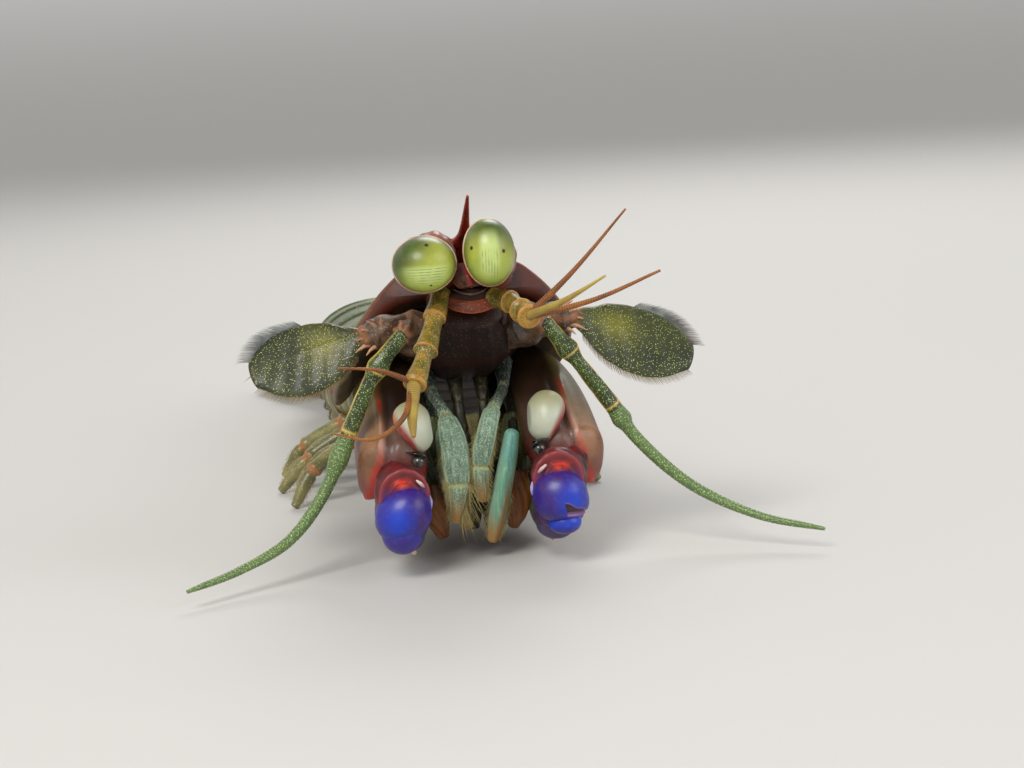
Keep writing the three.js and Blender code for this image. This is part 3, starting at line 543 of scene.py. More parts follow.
lip_paint = shell_finish("head_lip", (116, 48, 20), (76, 28, 12), (196, 92, 34), (176, 100, 56), rough=0.5,
                         coat=0.06, flesh=0.3)
fold_paint = shell_finish("head_pale_fold", (96, 84, 74), (60, 46, 40), (120, 106, 96), (150, 140, 132),
                          rough=0.45, coat=0.1, flesh=0.35)
lip = limb(LIP, [0.4, 0.7, 0.84, 0.88, 0.84, 0.7, 0.4], [0.3, 0.36, 0.4, 0.36, 0.3], across=(0, 0.3, 1), rows=80,
           sides=44, relief=lambda t, a: -0.06 * bump_at(np.cos(a), 0.1, 0.12),
           edge=lambda t, a: 0.8 * bump_at(np.abs(np.cos(a)), 1, 0.14))
shell_piece("head_lip_bar", [lip], lip_paint, "head")
fold = limb(PALE_FOLD, [0.06, 0.12, 0.14, 0.12, 0.06], [0.2, 0.26, 0.2], across=(0, 0.3, 1), rows=60, sides=20)
shell_piece("head_pale_bar", [fold], fold_paint, "head")
beak = [limb([[-0.15, -0.3, 20.3], [-0.12, -1.1, 19.7], [-0.05, -1.55, 19.2]], [2.2, 2.1, 1.5], [0.9, 0.8, 0.4],
             rows=50, sides=60, relief=lambda t, a: 0.05 * np.cos(7 * a + 3 * t),
             edge=lambda t, a: bump_at(np.sin(a), 1, 0.015))]
beak_paint = shell_finish("head_beak", (124, 80, 62), (92, 40, 26), (164, 36, 18), (150, 110, 92), rough=0.5,
                          coat=0.06, flesh=0.5)
shell_piece("head_red_beak", beak, beak_paint, "head")

# Eyes
# Egg-shaped glossy eyes, each held in the cup of a short see-through stalk. The glass is lime green with a band of
# six fine dark rows along its longer way, black looking-through spots, and a pale soft rim where the cup ends.

EYES = {
    "left": {"at": [1.12, -3.5, 21.6], "size": [3.5, 4.1, 4.52], "stalk": [1.8, 1, 19.2], "neck": [1.45, -2.3, 21.3],
             "cup": [1.6, -2.0, 21.2], "cup_size": [3.2, 3.4, 3.6], "band": "X", "first_row": -0.66, "rows_to": 0.0,
             "shade": [0.3, 0.0, 0.95], "spots": [[-1.3, 0.5], [0.77, 0.2]], "rim": [-0.6, -0.8]},
    "right": {"at": [-3.27, -3.5, 21.12], "size": [4.26, 4.1, 3.76], "stalk": [-1.6, 1, 19.4],
              "neck": [-2.9, -2.3, 21.35], "cup": [-2.45, -2.0, 21.6], "cup_size": [3.0, 3.4, 3.16], "band": "Z",
              "first_row": -1.1, "rows_to": 1.35, "shade": [-0.75, 0.0, 0.66], "spots": [[0.1, 1.4], [0.22, -1.3]],
              "rim": [0.6, -0.8]},
}
ROW_GAP, ROW_COUNT, SPOT_SIZE = 0.19, 6, 0.085
RIM_SLANT = 0.2


def egg_rings(at, size, rows=70, sides=96):
    """An egg-like form round the direction of sight: rings of constant depth, from the front pole to the rear one."""
    polar = np.linspace(0.02, np.pi - 0.02, rows)
    angle = 2 * np.pi * np.arange(sides) / sides
    half = np.array(size) / 2
    rings = np.stack([np.sin(polar)[:, None] * np.cos(angle) * half[0],
                      np.broadcast_to(-np.cos(polar)[:, None] * half[1], (rows, sides)),
                      np.sin(polar)[:, None] * np.sin(angle) * half[2]], -1)
    return rings + np.array(at), polar, angle


def closed_bead(loop, outward, thick, deep, sides=14):
    """A bead along a closed loop of points: a small oval section, thick outward and deep along Y, at each point."""
    tube = 2 * np.pi * np.arange(sides) / sides
    bead = loop[:, None] + thick[:, None, None] * np.cos(tube)[None, :, None] * outward[:, None] \
        + deep * np.sin(tube)[None, :, None] * np.array([0.0, 1.0, 0.0])
    count = len(loop)
    index = np.arange(count * sides).reshape(count, sides)
    quads = np.stack([index, np.roll(index, -1, 1), np.roll(np.roll(index, -1, 0), -1, 1), np.roll(index, -1, 0)], -1)
    quads, points = quads.reshape(-1, 4), bead.reshape(-1, 3)
    corner = points[quads[0]]
    facing_out = np.cross(corner[1] - corner[0], corner[3] - corner[0]) @ (corner[0] - loop[0]) > 0
    return {"points": points, "quads": quads if facing_out else quads[:, ::-1], "triangles": np.zeros((0, 3), int),
            "marks": {}}


def lean(tree, vector, way, low, high):
    """A share that runs from 0 to 1 as a place moves along a direction, from low to high metres."""
    dot = node(tree, "ShaderNodeVectorMath", {0: vector, 1: list(way)}, operation="DOT_PRODUCT").outputs["Value"]
    return ramp(tree, dot, low, high)


def gap_from(tree, value, line):
    """How far a value is from a line, on whichever side."""
    return times(tree, times(tree, value, line, "SUBTRACT"), 0.0, "ABSOLUTE")


stalk_paint = shell_finish("eyestalk_shell", (112, 54, 26), (72, 32, 16), (150, 84, 52), (170, 108, 66), rough=0.4,
                           coat=0.12, flesh=0.5)
rim_paint = shell_finish("eye_rim", (214, 180, 150), (160, 104, 74), (232, 206, 180), (232, 210, 184), rough=0.4,
                         coat=0.1, flesh=0.4)

for word, eye in EYES.items():
    centre = metres(eye["at"])
    half_mm = np.array(eye["size"]) / 2
    half = half_mm * MM
    material, tree, shader = bare_material(f"cornea_{word}", rough=0.4, coat=0.14, flesh=0.25,
                                           flesh_colour=(0.6, 1.0, 0.2))
    shader.inputs["Coat Roughness"].default_value = 0.16
    local = node(tree, "ShaderNodeMapping", {"Vector": own_place(tree), "Location": (-centre).tolist()})
    place = node(tree, "ShaderNodeSeparateXYZ", {"Vector": local.outputs["Vector"]})
    up_share = ramp(tree, place.outputs["Z"], -half[2] * 0.9, half[2] * 0.5)
    paint = tinted(tree, up_share, (190, 206, 96), (164, 168, 62))
    paint = tinted(tree, ramp(tree, place.outputs["Y"], -half[1] * 0.75, -half[1] * 0.05), paint, (76, 82, 18))
    dark = lean(tree, local.outputs["Vector"], eye["shade"], -half[2] * 0.02, half[2] * 0.88)
    paint = tinted(tree, times(tree, dark, 0.95), paint, (38, 54, 8))
    cloud = node(tree, "ShaderNodeTexNoise", {"Vector": own_place(tree), "Scale": 900.0, "Detail": 4.0})
    paint = tinted(tree, times(tree, ramp(tree, cloud.outputs["Fac"], 0.45, 0.7), 0.3), paint, (112, 140, 48))
    cells = node(tree, "ShaderNodeTexVoronoi", {"Vector": local.outputs["Vector"], "Scale": 14000.0})
    paint = tinted(tree, times(tree, ramp(tree, cells.outputs["Distance"], 0.2, 0.6), 0.2), paint, (96, 118, 36))
    along_band = place.outputs[eye["band"]]
    middle_row = (eye["first_row"] + ROW_GAP * (ROW_COUNT - 1) / 2) * MM
    ahead = ramp(tree, place.outputs["Y"], -half[1] * 0.98, -half[1] * 0.55, reverse=True)
    pale = times(tree, ramp(tree, gap_from(tree, along_band, middle_row), 0.0004, 0.00085, reverse=True), ahead)
    paint = tinted(tree, times(tree, pale, 0.6), paint, (204, 224, 148))
    rows_share = None
    for row in range(ROW_COUNT):
        line = (eye["first_row"] + ROW_GAP * row) * MM
        thin = ramp(tree, gap_from(tree, along_band, line), 0.000012, 0.00004, reverse=True)
        rows_share = thin if rows_share is None else times(tree, rows_share, thin, "MAXIMUM")
    broken = node(tree, "ShaderNodeTexNoise", {"Vector": own_place(tree), "Scale": 1600.0, "Detail": 2.0})
    rows_share = times(tree, times(tree, rows_share, ramp(tree, broken.outputs["Fac"], 0.3, 0.6)), ahead)
    along_rows = place.outputs["Z" if eye["band"] == "X" else "X"]
    rows_end = eye["rows_to"] * MM
    rows_share = times(tree, rows_share, ramp(tree, along_rows, rows_end, rows_end + 0.0006, reverse=True))
    paint = tinted(tree, times(tree, rows_share, 0.7), paint, (84, 96, 26))
    for k, (x, z) in enumerate(eye["spots"]):
        y = -half_mm[1] * np.sqrt(max(0.05, 1 - (x / half_mm[0]) ** 2 - (z / half_mm[2]) ** 2))
        spot_at = (np.array([x, y, z]) * MM).tolist()
        reach = node(tree, "ShaderNodeVectorMath", {0: local.outputs["Vector"], 1: spot_at}, operation="DISTANCE")
        size = SPOT_SIZE * (0.7 if word == "right" and k == 1 else 1.0) * MM
        spot_share = ramp(tree, reach.outputs["Value"], size, size * 2.1, reverse=True)
        paint = tinted(tree, spot_share, paint, (12, 14, 8))
    tree.links.new(paint, shader.inputs["Base Color"])
    facets = node(tree, "ShaderNodeBump", {"Height": cells.outputs["Distance"], "Strength": 0.15,
                                           "Distance": 0.00001})
    tree.links.new(facets.outputs["Normal"], shader.inputs["Normal"])
    glass = sheet_of_rings(egg_rings(eye["at"], eye["size"])[0])
    shell_piece(f"cornea_glass_{word}", [glass], material, "cornea", f"cornea_{word}")

    neck_form = lambda t, a: 0.1 * bump_at(t, 0.75, 0.06) - 0.1 * bump_at(t, 0.5, 0.05) \
        + 0.08 * bump_at(t, 0.25, 0.08)
    stalk_form = limb([eye["stalk"], eye["neck"]], [2.4, 3.0, 3.4], rows=60, sides=56, relief=neck_form)
    rings, polar, angle = egg_rings(eye["cup"], eye["cup_size"])
    ribs = 0.04 * np.cos(9 * angle)[None, :] * np.sin(polar)[:, None]
    rings = rings + ribs[..., None] * unit(rings - np.array(eye["cup"]))
    rings[..., 1] = np.maximum(rings[..., 1], eye["at"][1] + 0.35)
    cup = sheet_of_rings(rings, {"edge": 0.5 * bump_at(polar, 1.1, 0.25)[:, None]})
    shell_piece(f"eyestalk_tube_{word}", [stalk_form, cup], stalk_paint, "eyestalk", f"eyestalk_{word}")

    turn = 2 * np.pi * np.arange(120) / 120
    depth = -0.02 - RIM_SLANT * (eye["rim"][0] * np.cos(turn) + eye["rim"][1] * np.sin(turn))
    girth = np.sqrt(1 - depth**2)
    loop = np.array(eye["at"]) + np.stack([np.cos(turn) * half_mm[0] * girth, half_mm[1] * depth,
                                           np.sin(turn) * half_mm[2] * girth], -1)
    outward = unit((loop - eye["at"]) * [1, 0, 1])
    soft_rim = closed_bead(loop, outward, 0.07 + 0.012 * np.sin(3 * turn + 1), 0.11)
    shell_piece(f"eye_rim_{word}", [soft_rim], rim_paint, "eyestalk")

# Antennules
# Two many-jointed feelers on the front of the head: three see-through amber joints like stacked bells with bright
# orange rims, and three fine whips at the end of each, some ringed and brown, some smooth and straw yellow.

ANTENNULES = {
    "left": {
        "joints": [[1.5, -1.7, 18.3], [2.5, -3.1, 18.1], [2.9, -5.1, 17.7], [3.1, -7, 17.5]],
        "whips": [
            ([[3.1, -6.9, 17.6], [6.2, -7.7, 20.5], [9.7, -8, 24.2]], [0.5, 0.42, 0.32, 0.22, 0.14], "ringed"),
            ([[3.1, -7, 17.6], [4.9, -10.4, 18.8], [7, -14, 20.6]], [0.56, 0.5, 0.4, 0.26, 0.14], "smooth"),
            ([[3.1, -6.9, 17.5], [7.4, -7.7, 18.4], [11.8, -8, 20]], [0.5, 0.42, 0.34, 0.26, 0.18], "ringed"),
        ],
    },
    "right": {
        "joints": [[-2.05, -1.2, 18.8], [-2.8, -3, 17.3], [-3.75, -5, 15.4], [-4.8, -7, 13.6]],
        "whips": [
            ([[-4.8, -7, 13.7], [-5.3, -9.3, 12], [-5.5, -11.4, 11]], [0.95, 0.85, 0.72, 0.56, 0.34], "smooth"),
            ([[-4.9, -7, 13.7], [-6.1, -10.4, 11.9], [-8.2, -12, 11.1], [-10.6, -12.6, 11.8]],
             [0.42, 0.36, 0.3, 0.2, 0.12], "ringed"),
            ([[-4.9, -6.9, 13.8], [-7.2, -8, 14.9], [-9.8, -9, 15.4]], [0.42, 0.34, 0.26, 0.18, 0.12], "ringed"),
        ],
    },
}
BELL_WIDE = [1.5, 1.32, 1.3, 1.38, 1.48, 1.56, 1.2, 1.2, 1.26, 1.36, 1.48, 1.58, 1.1, 1.12, 1.2, 1.34, 1.48, 1.56]
RINGS_PER_MM = 6.0

amber, tree, shader = bare_material("antennule_shell", rough=0.4, coat=0.12, flesh=0.5,
                                    flesh_colour=(1.0, 0.6, 0.2))
painted(tree, shader, tinted(tree, mottle(tree, 1100.0), (142, 112, 40), (84, 82, 26)), [
    (specks(tree, 7600.0, 0.4), 0.5, (214, 192, 104)),
    ("edge", 0.7, (194, 134, 44))])
ringed_paint, tree, shader = bare_material("whip_ringed", rough=0.45, coat=0.1, flesh=0.2,
                                           flesh_colour=(1.0, 0.6, 0.2))
painted(tree, shader, tinted(tree, mottle(tree, 500.0), (156, 96, 20), (122, 68, 15)), [
    ("edge", 1.0, (84, 46, 12))])
smooth_paint, tree, shader = bare_material("whip_smooth", rough=0.4, coat=0.2, flesh=0.4,
                                           flesh_colour=(1.0, 0.8, 0.3))
painted(tree, shader, tinted(tree, mottle(tree, 500.0), (168, 148, 60), (142, 114, 44)), [
    ("edge", 1.0, (196, 180, 108))])


def path_length(path):
    """Length of a smooth path: the sum of many short steps."""
    line = smooth_line(path, np.linspace(0, 1, 60))
    return float(np.linalg.norm(np.diff(line, axis=0), axis=1).sum())


def whip(path, wide, depth, shade):
    """A whip of many short rings: its surface swells on each ring and pinches between, a sine of the share along."""
    count = max(12, int(path_length(path) * RINGS_PER_MM))
    beads = lambda t, a: depth * np.cos(2 * np.pi * count * t) * (1.1 - 0.7 * t)
    return limb(path, wide, rows=count * 6, sides=14, relief=beads, dome=(0.3, 0.6),
                edge=lambda t, a: shade * (np.cos(2 * np.pi * count * t) < -0.5))


for word, feeler in ANTENNULES.items():
    rim = lambda t, a: 0.06 * bump_at((t * 3) % 1, 0.95, 0.035) * (t > 0.2) \
        + 0.03 * np.cos(3 * a) * np.sin(np.pi * ((t * 3) % 1))
    rings, t, _, row = limb_rings(feeler["joints"], BELL_WIDE, rows=190, sides=56, dome=(0.4, 0.2), relief=rim)
    at_end = (t >= 1)[:, None]
    bell = bump_at((t * 3) % 1, 0.95, 0.032)[:, None] * (t > 0.2)[:, None] * ~at_end
    ring_mark = (bump_at(row["scale"], 1, 0.2) + bump_at(row["scale"], 0.5, 0.12))[:, None] * at_end
    marks = {"edge": np.clip(bell + ring_mark, 0, 1)}
    shell_piece(f"antennule_bells_{word}", [sheet_of_rings(rings, marks)], amber, "antennule", f"antennule_{word}")
    for kind, skin, depth, shade in (("ringed", ringed_paint, 0.02, 0.75), ("smooth", smooth_paint, 0.007, 0.35)):
        lashes = [whip(path, wide, depth, shade) for path, wide, finish in feeler["whips"] if finish == kind]
        shell_piece(f"antennule_whips_{kind}_{word}", lashes, skin, "antennule")

# Antennae and their scales
# Each has a broad see-through base, two long green jointed lengths thick with yellow specks, a ringed whip, and a
# flat oval scale on a side arm. The scale is dark olive with cream specks and a fringe of fine stiff hairs.

ANTENNAE = {
    "left": [[5.05, -1, 16.3], [6.7, -1, 14.05], [9.45, -1, 10.1], [11, -1.2, 7.7], [14.3, -2.6, 4.4],
             [18.4, -5, 2.3], [22.4, -7.6, 1.5]],
    "right": [[-4.85, -1, 16.2], [-6.85, -1, 13.8], [-8.9, -1, 9.8], [-11.1, -1.2, 5.5], [-13.6, -2.8, 3],
              [-17, -5, 1.8], [-20.6, -7.6, 1.3]],
}
SCALES = {
    "left": {"hinge": [7.3, 0.1, 16.4], "tip": [15.3, 0, 12.9]},
    "right": {"hinge": [-7.4, 0.1, 16.1], "tip": [-15, 0, 14.1]},
}
SCALE_WIDE = [1.3, 2.5, 4.0, 4.8, 5.15, 5.2, 4.8, 3.8, 2.1]
ANTENNA_WIDE = [1, 1.04, 1.12, 1.5, 0.95, 1.04, 1.1, 1.14, 1.38, 0.9, 0.85, 0.84, 0.8, 0.75, 0.72, 0.66, 0.6, 0.55,
                0.5, 0.42, 0.25]
ANTENNA_RINGS_PER_MM = 3.6
# Spikes beside the scale's hinge: how far inward and up each root is, how much it leans out, and its length.
SPIKES = [(-1.0, 0.5, 0.5, 1.3), (-0.6, 0.3, 0.9, 1.0), (-0.3, -0.5, 1.0, 1.2), (-0.7, -0.7, 0.8, 0.9),
          (-1.3, 0.6, 0.1, 0.9), (-0.2, -0.1, 1.2, 0.8)]
SIDES = (("left", 1), ("right", -1))
HAIR_LIFT = 0.08
draw = np.random.default_rng(11)


def hair_finish(name, first, second, rough=0.55):
    """Hair: two cloudy colours, with no clear coat."""
    material, tree, shader = bare_material(name, rough=rough, coat=0.0, flesh=0.3)
    tree.links.new(tinted(tree, mottle(tree, 900.0), first, second), shader.inputs["Base Color"])
    return material


base_paint, tree, shader = bare_material("antenna_base", rough=0.55, coat=0.04, flesh=0.5,
                                         flesh_colour=(1.0, 0.7, 0.5))
painted(tree, shader, tinted(tree, mottle(tree, 600.0), (106, 78, 54), (60, 40, 28)), [
    (mottle(tree, 380.0, 0.5, 0.7), 0.4, (112, 116, 120)),
    (specks(tree, 6200.0, 0.36), 0.35, (190, 160, 120)),
    ("edge", 0.5, (168, 108, 66))])
spike_paint = shell_finish("antenna_spikes", (190, 152, 120), (146, 100, 72), (216, 182, 154), (214, 180, 150),
                           rough=0.5, coat=0.05, flesh=0.5)
green, tree, shader = bare_material("antenna_shell", rough=0.42, coat=0.15, flesh=0.25,
                                    flesh_colour=(0.7, 1.0, 0.3))
painted(tree, shader, tinted(tree, mottle(tree, 700.0), (58, 78, 30), (32, 46, 18)), [
    ("pale", 0.55, (112, 142, 84)),
    (specks(tree, 8400.0, 0.3, 0.94), 0.95, (194, 208, 118)),
    ("edge", 0.9, (226, 190, 96))], strength=0.5)
olive, tree, shader = bare_material("scale_shell", rough=0.5, coat=0.1, flesh=0.15, flesh_colour=(0.7, 1.0, 0.3))
painted(tree, shader, tinted(tree, mottle(tree, 500.0), (50, 56, 18), (28, 36, 12)), [
    ("patch", 0.85, (112, 108, 18)),
    (specks(tree, 7300.0, 0.27, 0.93), 0.9, (182, 192, 96)),
    ("edge", 1.0, (192, 104, 44))], strength=0.5)
pale_hair = hair_finish("pale_fringe_hair", (84, 92, 98), (132, 138, 134))
brown_hair = hair_finish("brown_fringe_hair", (104, 82, 48), (72, 54, 30))


def fringe(roots, ways, lengths, thick, spot, bend=0.0):
    """A row of stiff hairs: each is a three-sided cone in three lengths from its root along its way, whose tip hangs
    down by bend times its length, and is lifted clear of the floor. Spot is each root's place on the unwrapped
    skin, where the hair's patch lies."""
    count = len(roots)
    ways = unit(ways)
    sag = np.array([0.0, 0.0, -1.0]) * (bend * lengths)[:, None]
    sag[:, 2] += np.maximum(0, HAIR_LIFT - (roots + lengths[:, None] * ways + sag)[:, 2])
    side = unit(np.cross(ways, np.array([0.31, 0.52, 0.79])))
    other = np.cross(ways, side)
    share = np.array([0.0, 0.35, 0.7])
    angle = 2 * np.pi * np.arange(3) / 3
    reach = share[None, :, None] * lengths[:, None, None] * ways[:, None] + (share**2)[None, :, None] * sag[:, None]
    radius = thick / 2 * (1 - 0.75 * share)
    around = np.cos(angle)[:, None] * side[:, None, None] + np.sin(angle)[:, None] * other[:, None, None]
    ring = (roots[:, None] + reach)[:, :, None] + radius[None, :, None, None] * around
    tip = roots + lengths[:, None] * ways + sag
    points = np.concatenate([ring.reshape(count, 9, 3), tip[:, None]], 1)
    base = (np.arange(count) * 10)[:, None, None]
    quads = np.array([[r * 3 + i, r * 3 + (i + 1) % 3, r * 3 + 3 + (i + 1) % 3, r * 3 + 3 + i]
                      for r in range(2) for i in range(3)])
    triangles = np.array([[6, 7, 9], [7, 8, 9], [8, 6, 9], [0, 2, 1]])
    patch = np.array([[0, 0], [0.003, 0], [0.0015, 0.003]] * 3 + [[0.0015, 0.0015]])
    uv = 0.02 + 0.95 * np.asarray(spot)[:, None] + patch[None]
    surface = {"points": points.reshape(-1, 3), "quads": (quads[None] + base).reshape(-1, 4),
               "triangles": (triangles[None] + base).reshape(-1, 3), "marks": {}}
    return surface, uv.reshape(-1, 2)


def edge_fringe(row, t, which, low, high, count, lengths, thick, skin=0, skins=1, out=(1.1, 0.5), ahead=(0.4, 1.15),
                bend=0.0, wild=0.05):
    """Hairs along one edge of a flat limb, from share low to high of its length. They stand straight out at first
    and lean ahead towards the tip. Skin of skins says which strip of the unwrap belongs to this limb."""
    share = np.linspace(low, high, count) + draw.normal(0, 0.08 * (high - low) / count, count)
    pick = lambda values: np.stack([np.interp(share, t, values[:, k]) for k in range(3)], -1)
    half = np.interp(share, t, row["half_wide"])[:, None] * 0.97
    right, forward = unit(pick(row["right"])), unit(pick(row["forward"]))
    roots = pick(row["centre"]) + which * right * half
    turn = np.clip((share - low) / (high - low), 0, 1)[:, None]
    ways = which * right * (out[0] + (out[1] - out[0]) * turn) + forward * (ahead[0] + (ahead[1] - ahead[0]) * turn)
    ways = ways + draw.normal(0, wild, (count, 3))
    shape = 0.7 + 0.3 * np.sin(np.pi * turn[:, 0])
    size = draw.uniform(*lengths, count) * shape
    strip = (skin + (0.1 if which > 0 else 0.6) + 0.012 * (np.arange(count) % 3)) / skins
    return fringe(roots, ways, size, thick, np.stack([share, strip], -1), bend)


def both_edges(*fringe_place, **shape):
    """The fringes along the two edges of a flat limb: what edge_fringe takes, without the side."""
    row, t, *rest = fringe_place
    return [edge_fringe(row, t, which, *rest, **shape) for which in (-1, 1)]


def hair_piece(name, fringes, material, slot_name):
    """One object of several fringes, each with its places on the unwrap."""
    surfaces, places = zip(*fringes)
    shell_piece(name, surfaces, material, slot_name, hair_root=np.concatenate(places))


for word, s in SIDES:
    route, scale = ANTENNAE[word], SCALES[word]
    hinge, tip = np.array(scale["hinge"]), np.array(scale["tip"])
    base_edge = lambda t, a: 0.8 * bump_at(t, 1, 0.05) + 0.7 * bump_at(np.sin(a), 1, 0.04)
    lumps = lambda t, a: 0.14 * bump_at(t, 0.55, 0.05) - 0.12 * bump_at(t, 0.68, 0.04) + 0.07 * np.sin(7 * a + 9 * t)
    base = [limb([[s * 2.4, 3.6, 15.4], [s * 4.2, 1, 16], route[0]], [3, 3.2, 2.2, 1.3], rows=80, sides=64,
                 relief=lumps, edge=base_edge),
            limb([[s * 4.2, 1, 16], [s * 5.8, 0.5, 16.3], hinge], [2.4, 2.3, 1.5], across=(0, 0, 1), rows=60,
                 sides=48, relief=lambda t, a: 0.12 * bump_at(t, 0.8, 0.05) + 0.06 * np.sin(5 * a + 12 * t),
                 edge=base_edge)]
    shell_piece(f"antenna_base_{word}", base, base_paint, "antenna", f"antenna_{word}")
    spikes = []
    for along, lift, out, length in SPIKES:
        root = hinge + [s * along, -0.35, lift]
        way = unit(np.array([s * out, -0.45, lift * 0.9]))
        spikes.append(limb([root, root + way * length * 0.5 + [0, 0, 0.06], root + way * length], [0.36, 0.22, 0.05],
                           rows=24, sides=14, dome=(0.4, 0.4)))
    shell_piece(f"antenna_spikes_{word}", spikes, spike_paint, "antenna")

    ring_count = int(path_length(route[2:]) * ANTENNA_RINGS_PER_MM)
    in_whip = lambda t: np.clip((t - 0.345) / 0.01, 0, 1)
    joint_edge = lambda t, a: 0.8 * bump_at(t, 1 / 6, 0.0035) + 0.8 * bump_at(t, 2 / 6, 0.004) \
        + 0.95 * bump_at(np.abs(np.cos(a)), 1, 0.045) * (1 - in_whip(t))
    knots = lambda t, a: \
        in_whip(t) * 0.03 * np.abs(np.cos(np.pi * ring_count * (t - 1 / 3) * 1.5)) ** 5 * (1.35 - t) \
        + 0.035 * np.sin(9 * a + 40 * t) * (1 - in_whip(t))
    rings, t, angle, _ = limb_rings(route, ANTENNA_WIDE, rows=760, sides=28, relief=knots)
    marks = {"edge": np.clip(joint_edge(t[:, None], angle[None, :]), 0, 1), "pale": in_whip(t)[:, None]}
    shell_piece(f"antenna_length_{word}", [sheet_of_rings(rings, marks)], green, "antenna")

    middle = (hinge + tip) / 2 + [0, 0.25, -0.2]
    across = (s * 0.28, 0.58, 0.75)
    rib = lambda t, a: 0.09 * bump_at(np.cos(a), 0.15, 0.08) * (1 - t) + 0.05 * bump_at(np.abs(np.cos(a)), 1, 0.01) \
        + 0.02 * np.sin(38 * t + 5 * np.cos(a))
    scale_edge = lambda t, a: bump_at(np.cos(a), 1, 0.005) * (t < 0.55) + 0.4 * bump_at(t, 0, 0.04)
    rings, t, angle, row = limb_rings([hinge, middle, tip], SCALE_WIDE, [0.7, 0.7, 0.6], across=across, rows=130,
                                      sides=96, dome=(0.2, 1.0), relief=rib)
    marks = {"patch": bump_at(t, 0.33, 0.17)[:, None] * bump_at(np.cos(angle), 0.15, 0.55)[None, :],
             "edge": np.clip(scale_edge(t[:, None], angle[None, :]), 0, 1)}
    blade = sheet_of_rings(rings, marks)
    shell_piece(f"antennal_scale_blade_{word}", [blade], olive, "scale", f"antennal_scale_{word}")
    upper = edge_fringe(row, t, 1, 0.46, 0.999, 90, (1.45, 1.6), 0.085, ahead=(0.7, 1.3), bend=0.12, wild=0.015)
    hair_piece(f"scale_fringe_upper_{word}", [upper], pale_hair, "scale")
    lower = edge_fringe(row, t, -1, 0.1, 0.999, 110, (0.8, 0.9), 0.06, ahead=(0.2, 1.1), bend=0.1, wild=0.02)
    hair_piece(f"scale_fringe_lower_{word}", [lower], brown_hair, "scale")

# Striking claws
# Each is folded with its elbow at the front: a stout upper joint of pale and grey panels parted by a red line, a
# white lobe and a glossy knob, a red wrist with a hood-like fold, a blue dome, and the hand and hammer folded back.
# Shade is painted on the upper joint's far side, light shining through the wrist, and highlights as pale strips.

CLAWS = {
    "left": {"base": [4.6, 10, 11.4], "elbow": [6.3, -0.9, 6.7], "lobe": [4.9, -0.3, 9.8], "dome": [4.9, -4, 4.8],
             "knob": [3.9, -2.6, 7.78], "line": 6.3, "notch": 1.0},
    "right": {"base": [-4.6, 10, 11.4], "elbow": [-6.2, -0.9, 6.8], "lobe": [-4.75, -0.3, 9.8], "dome": [-6, -4, 4.5],
              "knob": [-4.45, -2.6, 7.6], "line": 6.55, "notch": 0.0},
}
HOOD_CENTRE, HOOD_REACH = np.array([-0.2, 1.3]), np.array([1.6, 1.75])
LOBE_SIZE, DOME_SIZE = np.array([2.9, 3.3, 3.5]), np.array([3.8, 3.6, 3.8])
LINE_TOP = 11.3

merus_paint, tree, shader = bare_material("claw_upper_joint", rough=0.46, coat=0.1, flesh=0.35)
painted(tree, shader, tinted(tree, mottle(tree, 350.0), (150, 106, 76), (116, 82, 54)), [
    ("high", 0.75, (96, 88, 30)),
    # The far mark is painted shade along the upper joint's outermost side.
    ("far", 0.85, (100, 46, 26)),
    ("inner", 1.0, (88, 64, 58)),
    ("low", 0.85, (112, 22, 20)),
    (mottle(tree, 1800.0, 0.5, 0.75), 0.3, (86, 52, 42)),
    (specks(tree, 6200.0, 0.3), 0.12, (206, 184, 160)),
    ("shade", 1.0, (44, 22, 12)),
    ("faint", 1.0, (196, 156, 140)),
    ("edge", 1.0, (186, 36, 16))])
lobe_paint, tree, shader = bare_material("claw_white_lobe", rough=0.42, coat=0.12, flesh=0.4)
height_share = ramp(tree, mark_of(tree, "height"), 0.45, 0.0)
painted(tree, shader, tinted(tree, height_share, (182, 188, 168), (156, 154, 112)), [
    ("blush", 1.0, (158, 58, 54)),
    ("edge", 1.0, (206, 116, 58)),
    (mottle(tree, 1200.0), 0.22, (170, 160, 146))], strength=0.15)
wrist_paint, tree, shader = bare_material("claw_red_wrist", rough=0.48, coat=0.08, flesh=0.3,
                                          flesh_colour=(1.0, 0.2, 0.1))
painted(tree, shader, tinted(tree, mottle(tree, 900.0), (108, 16, 20), (58, 8, 16)), [
    ("violet", 1.0, (74, 24, 92)),
    (mottle(tree, 2400.0, 0.5, 0.75), 0.3, (44, 8, 30)),
    ("edge", 1.0, (136, 48, 54)),
    # The glow mark is painted light: a bright orange-red spot where light shines through the wrist's thin skin.
    ("glow", ramp(tree, mottle(tree, 2600.0), -0.4, 0.6), (210, 48, 16))], strength=0.12)
dome_paint, tree, shader = bare_material("claw_blue_dome", rough=0.4, coat=0.12, flesh=0.08,
                                         flesh_colour=(0.3, 0.3, 1.0))
shader.inputs["Coat Roughness"].default_value = 0.16
painted(tree, shader, tinted(tree, mark_of(tree, "violet"), (10, 58, 186), (56, 20, 104)), [
    (mottle(tree, 900.0), 0.4, (22, 30, 150)),
    (mottle(tree, 3200.0, 0.5, 0.8), 0.2, (70, 110, 226)),
    ("notch", 1.0, (60, 28, 52)),
    ("edge", 0.8, (150, 100, 140))], strength=0.08)
# Painted highlight: a pale cream strip that stands for the shine of light along the wrist's bump.
streak_highlight_paint = shell_finish("claw_painted_streak_highlight", (220, 196, 190), (196, 146, 146), (236, 226, 220), (236, 226, 220),
                           rough=0.2, coat=0.5, flesh=0.3)
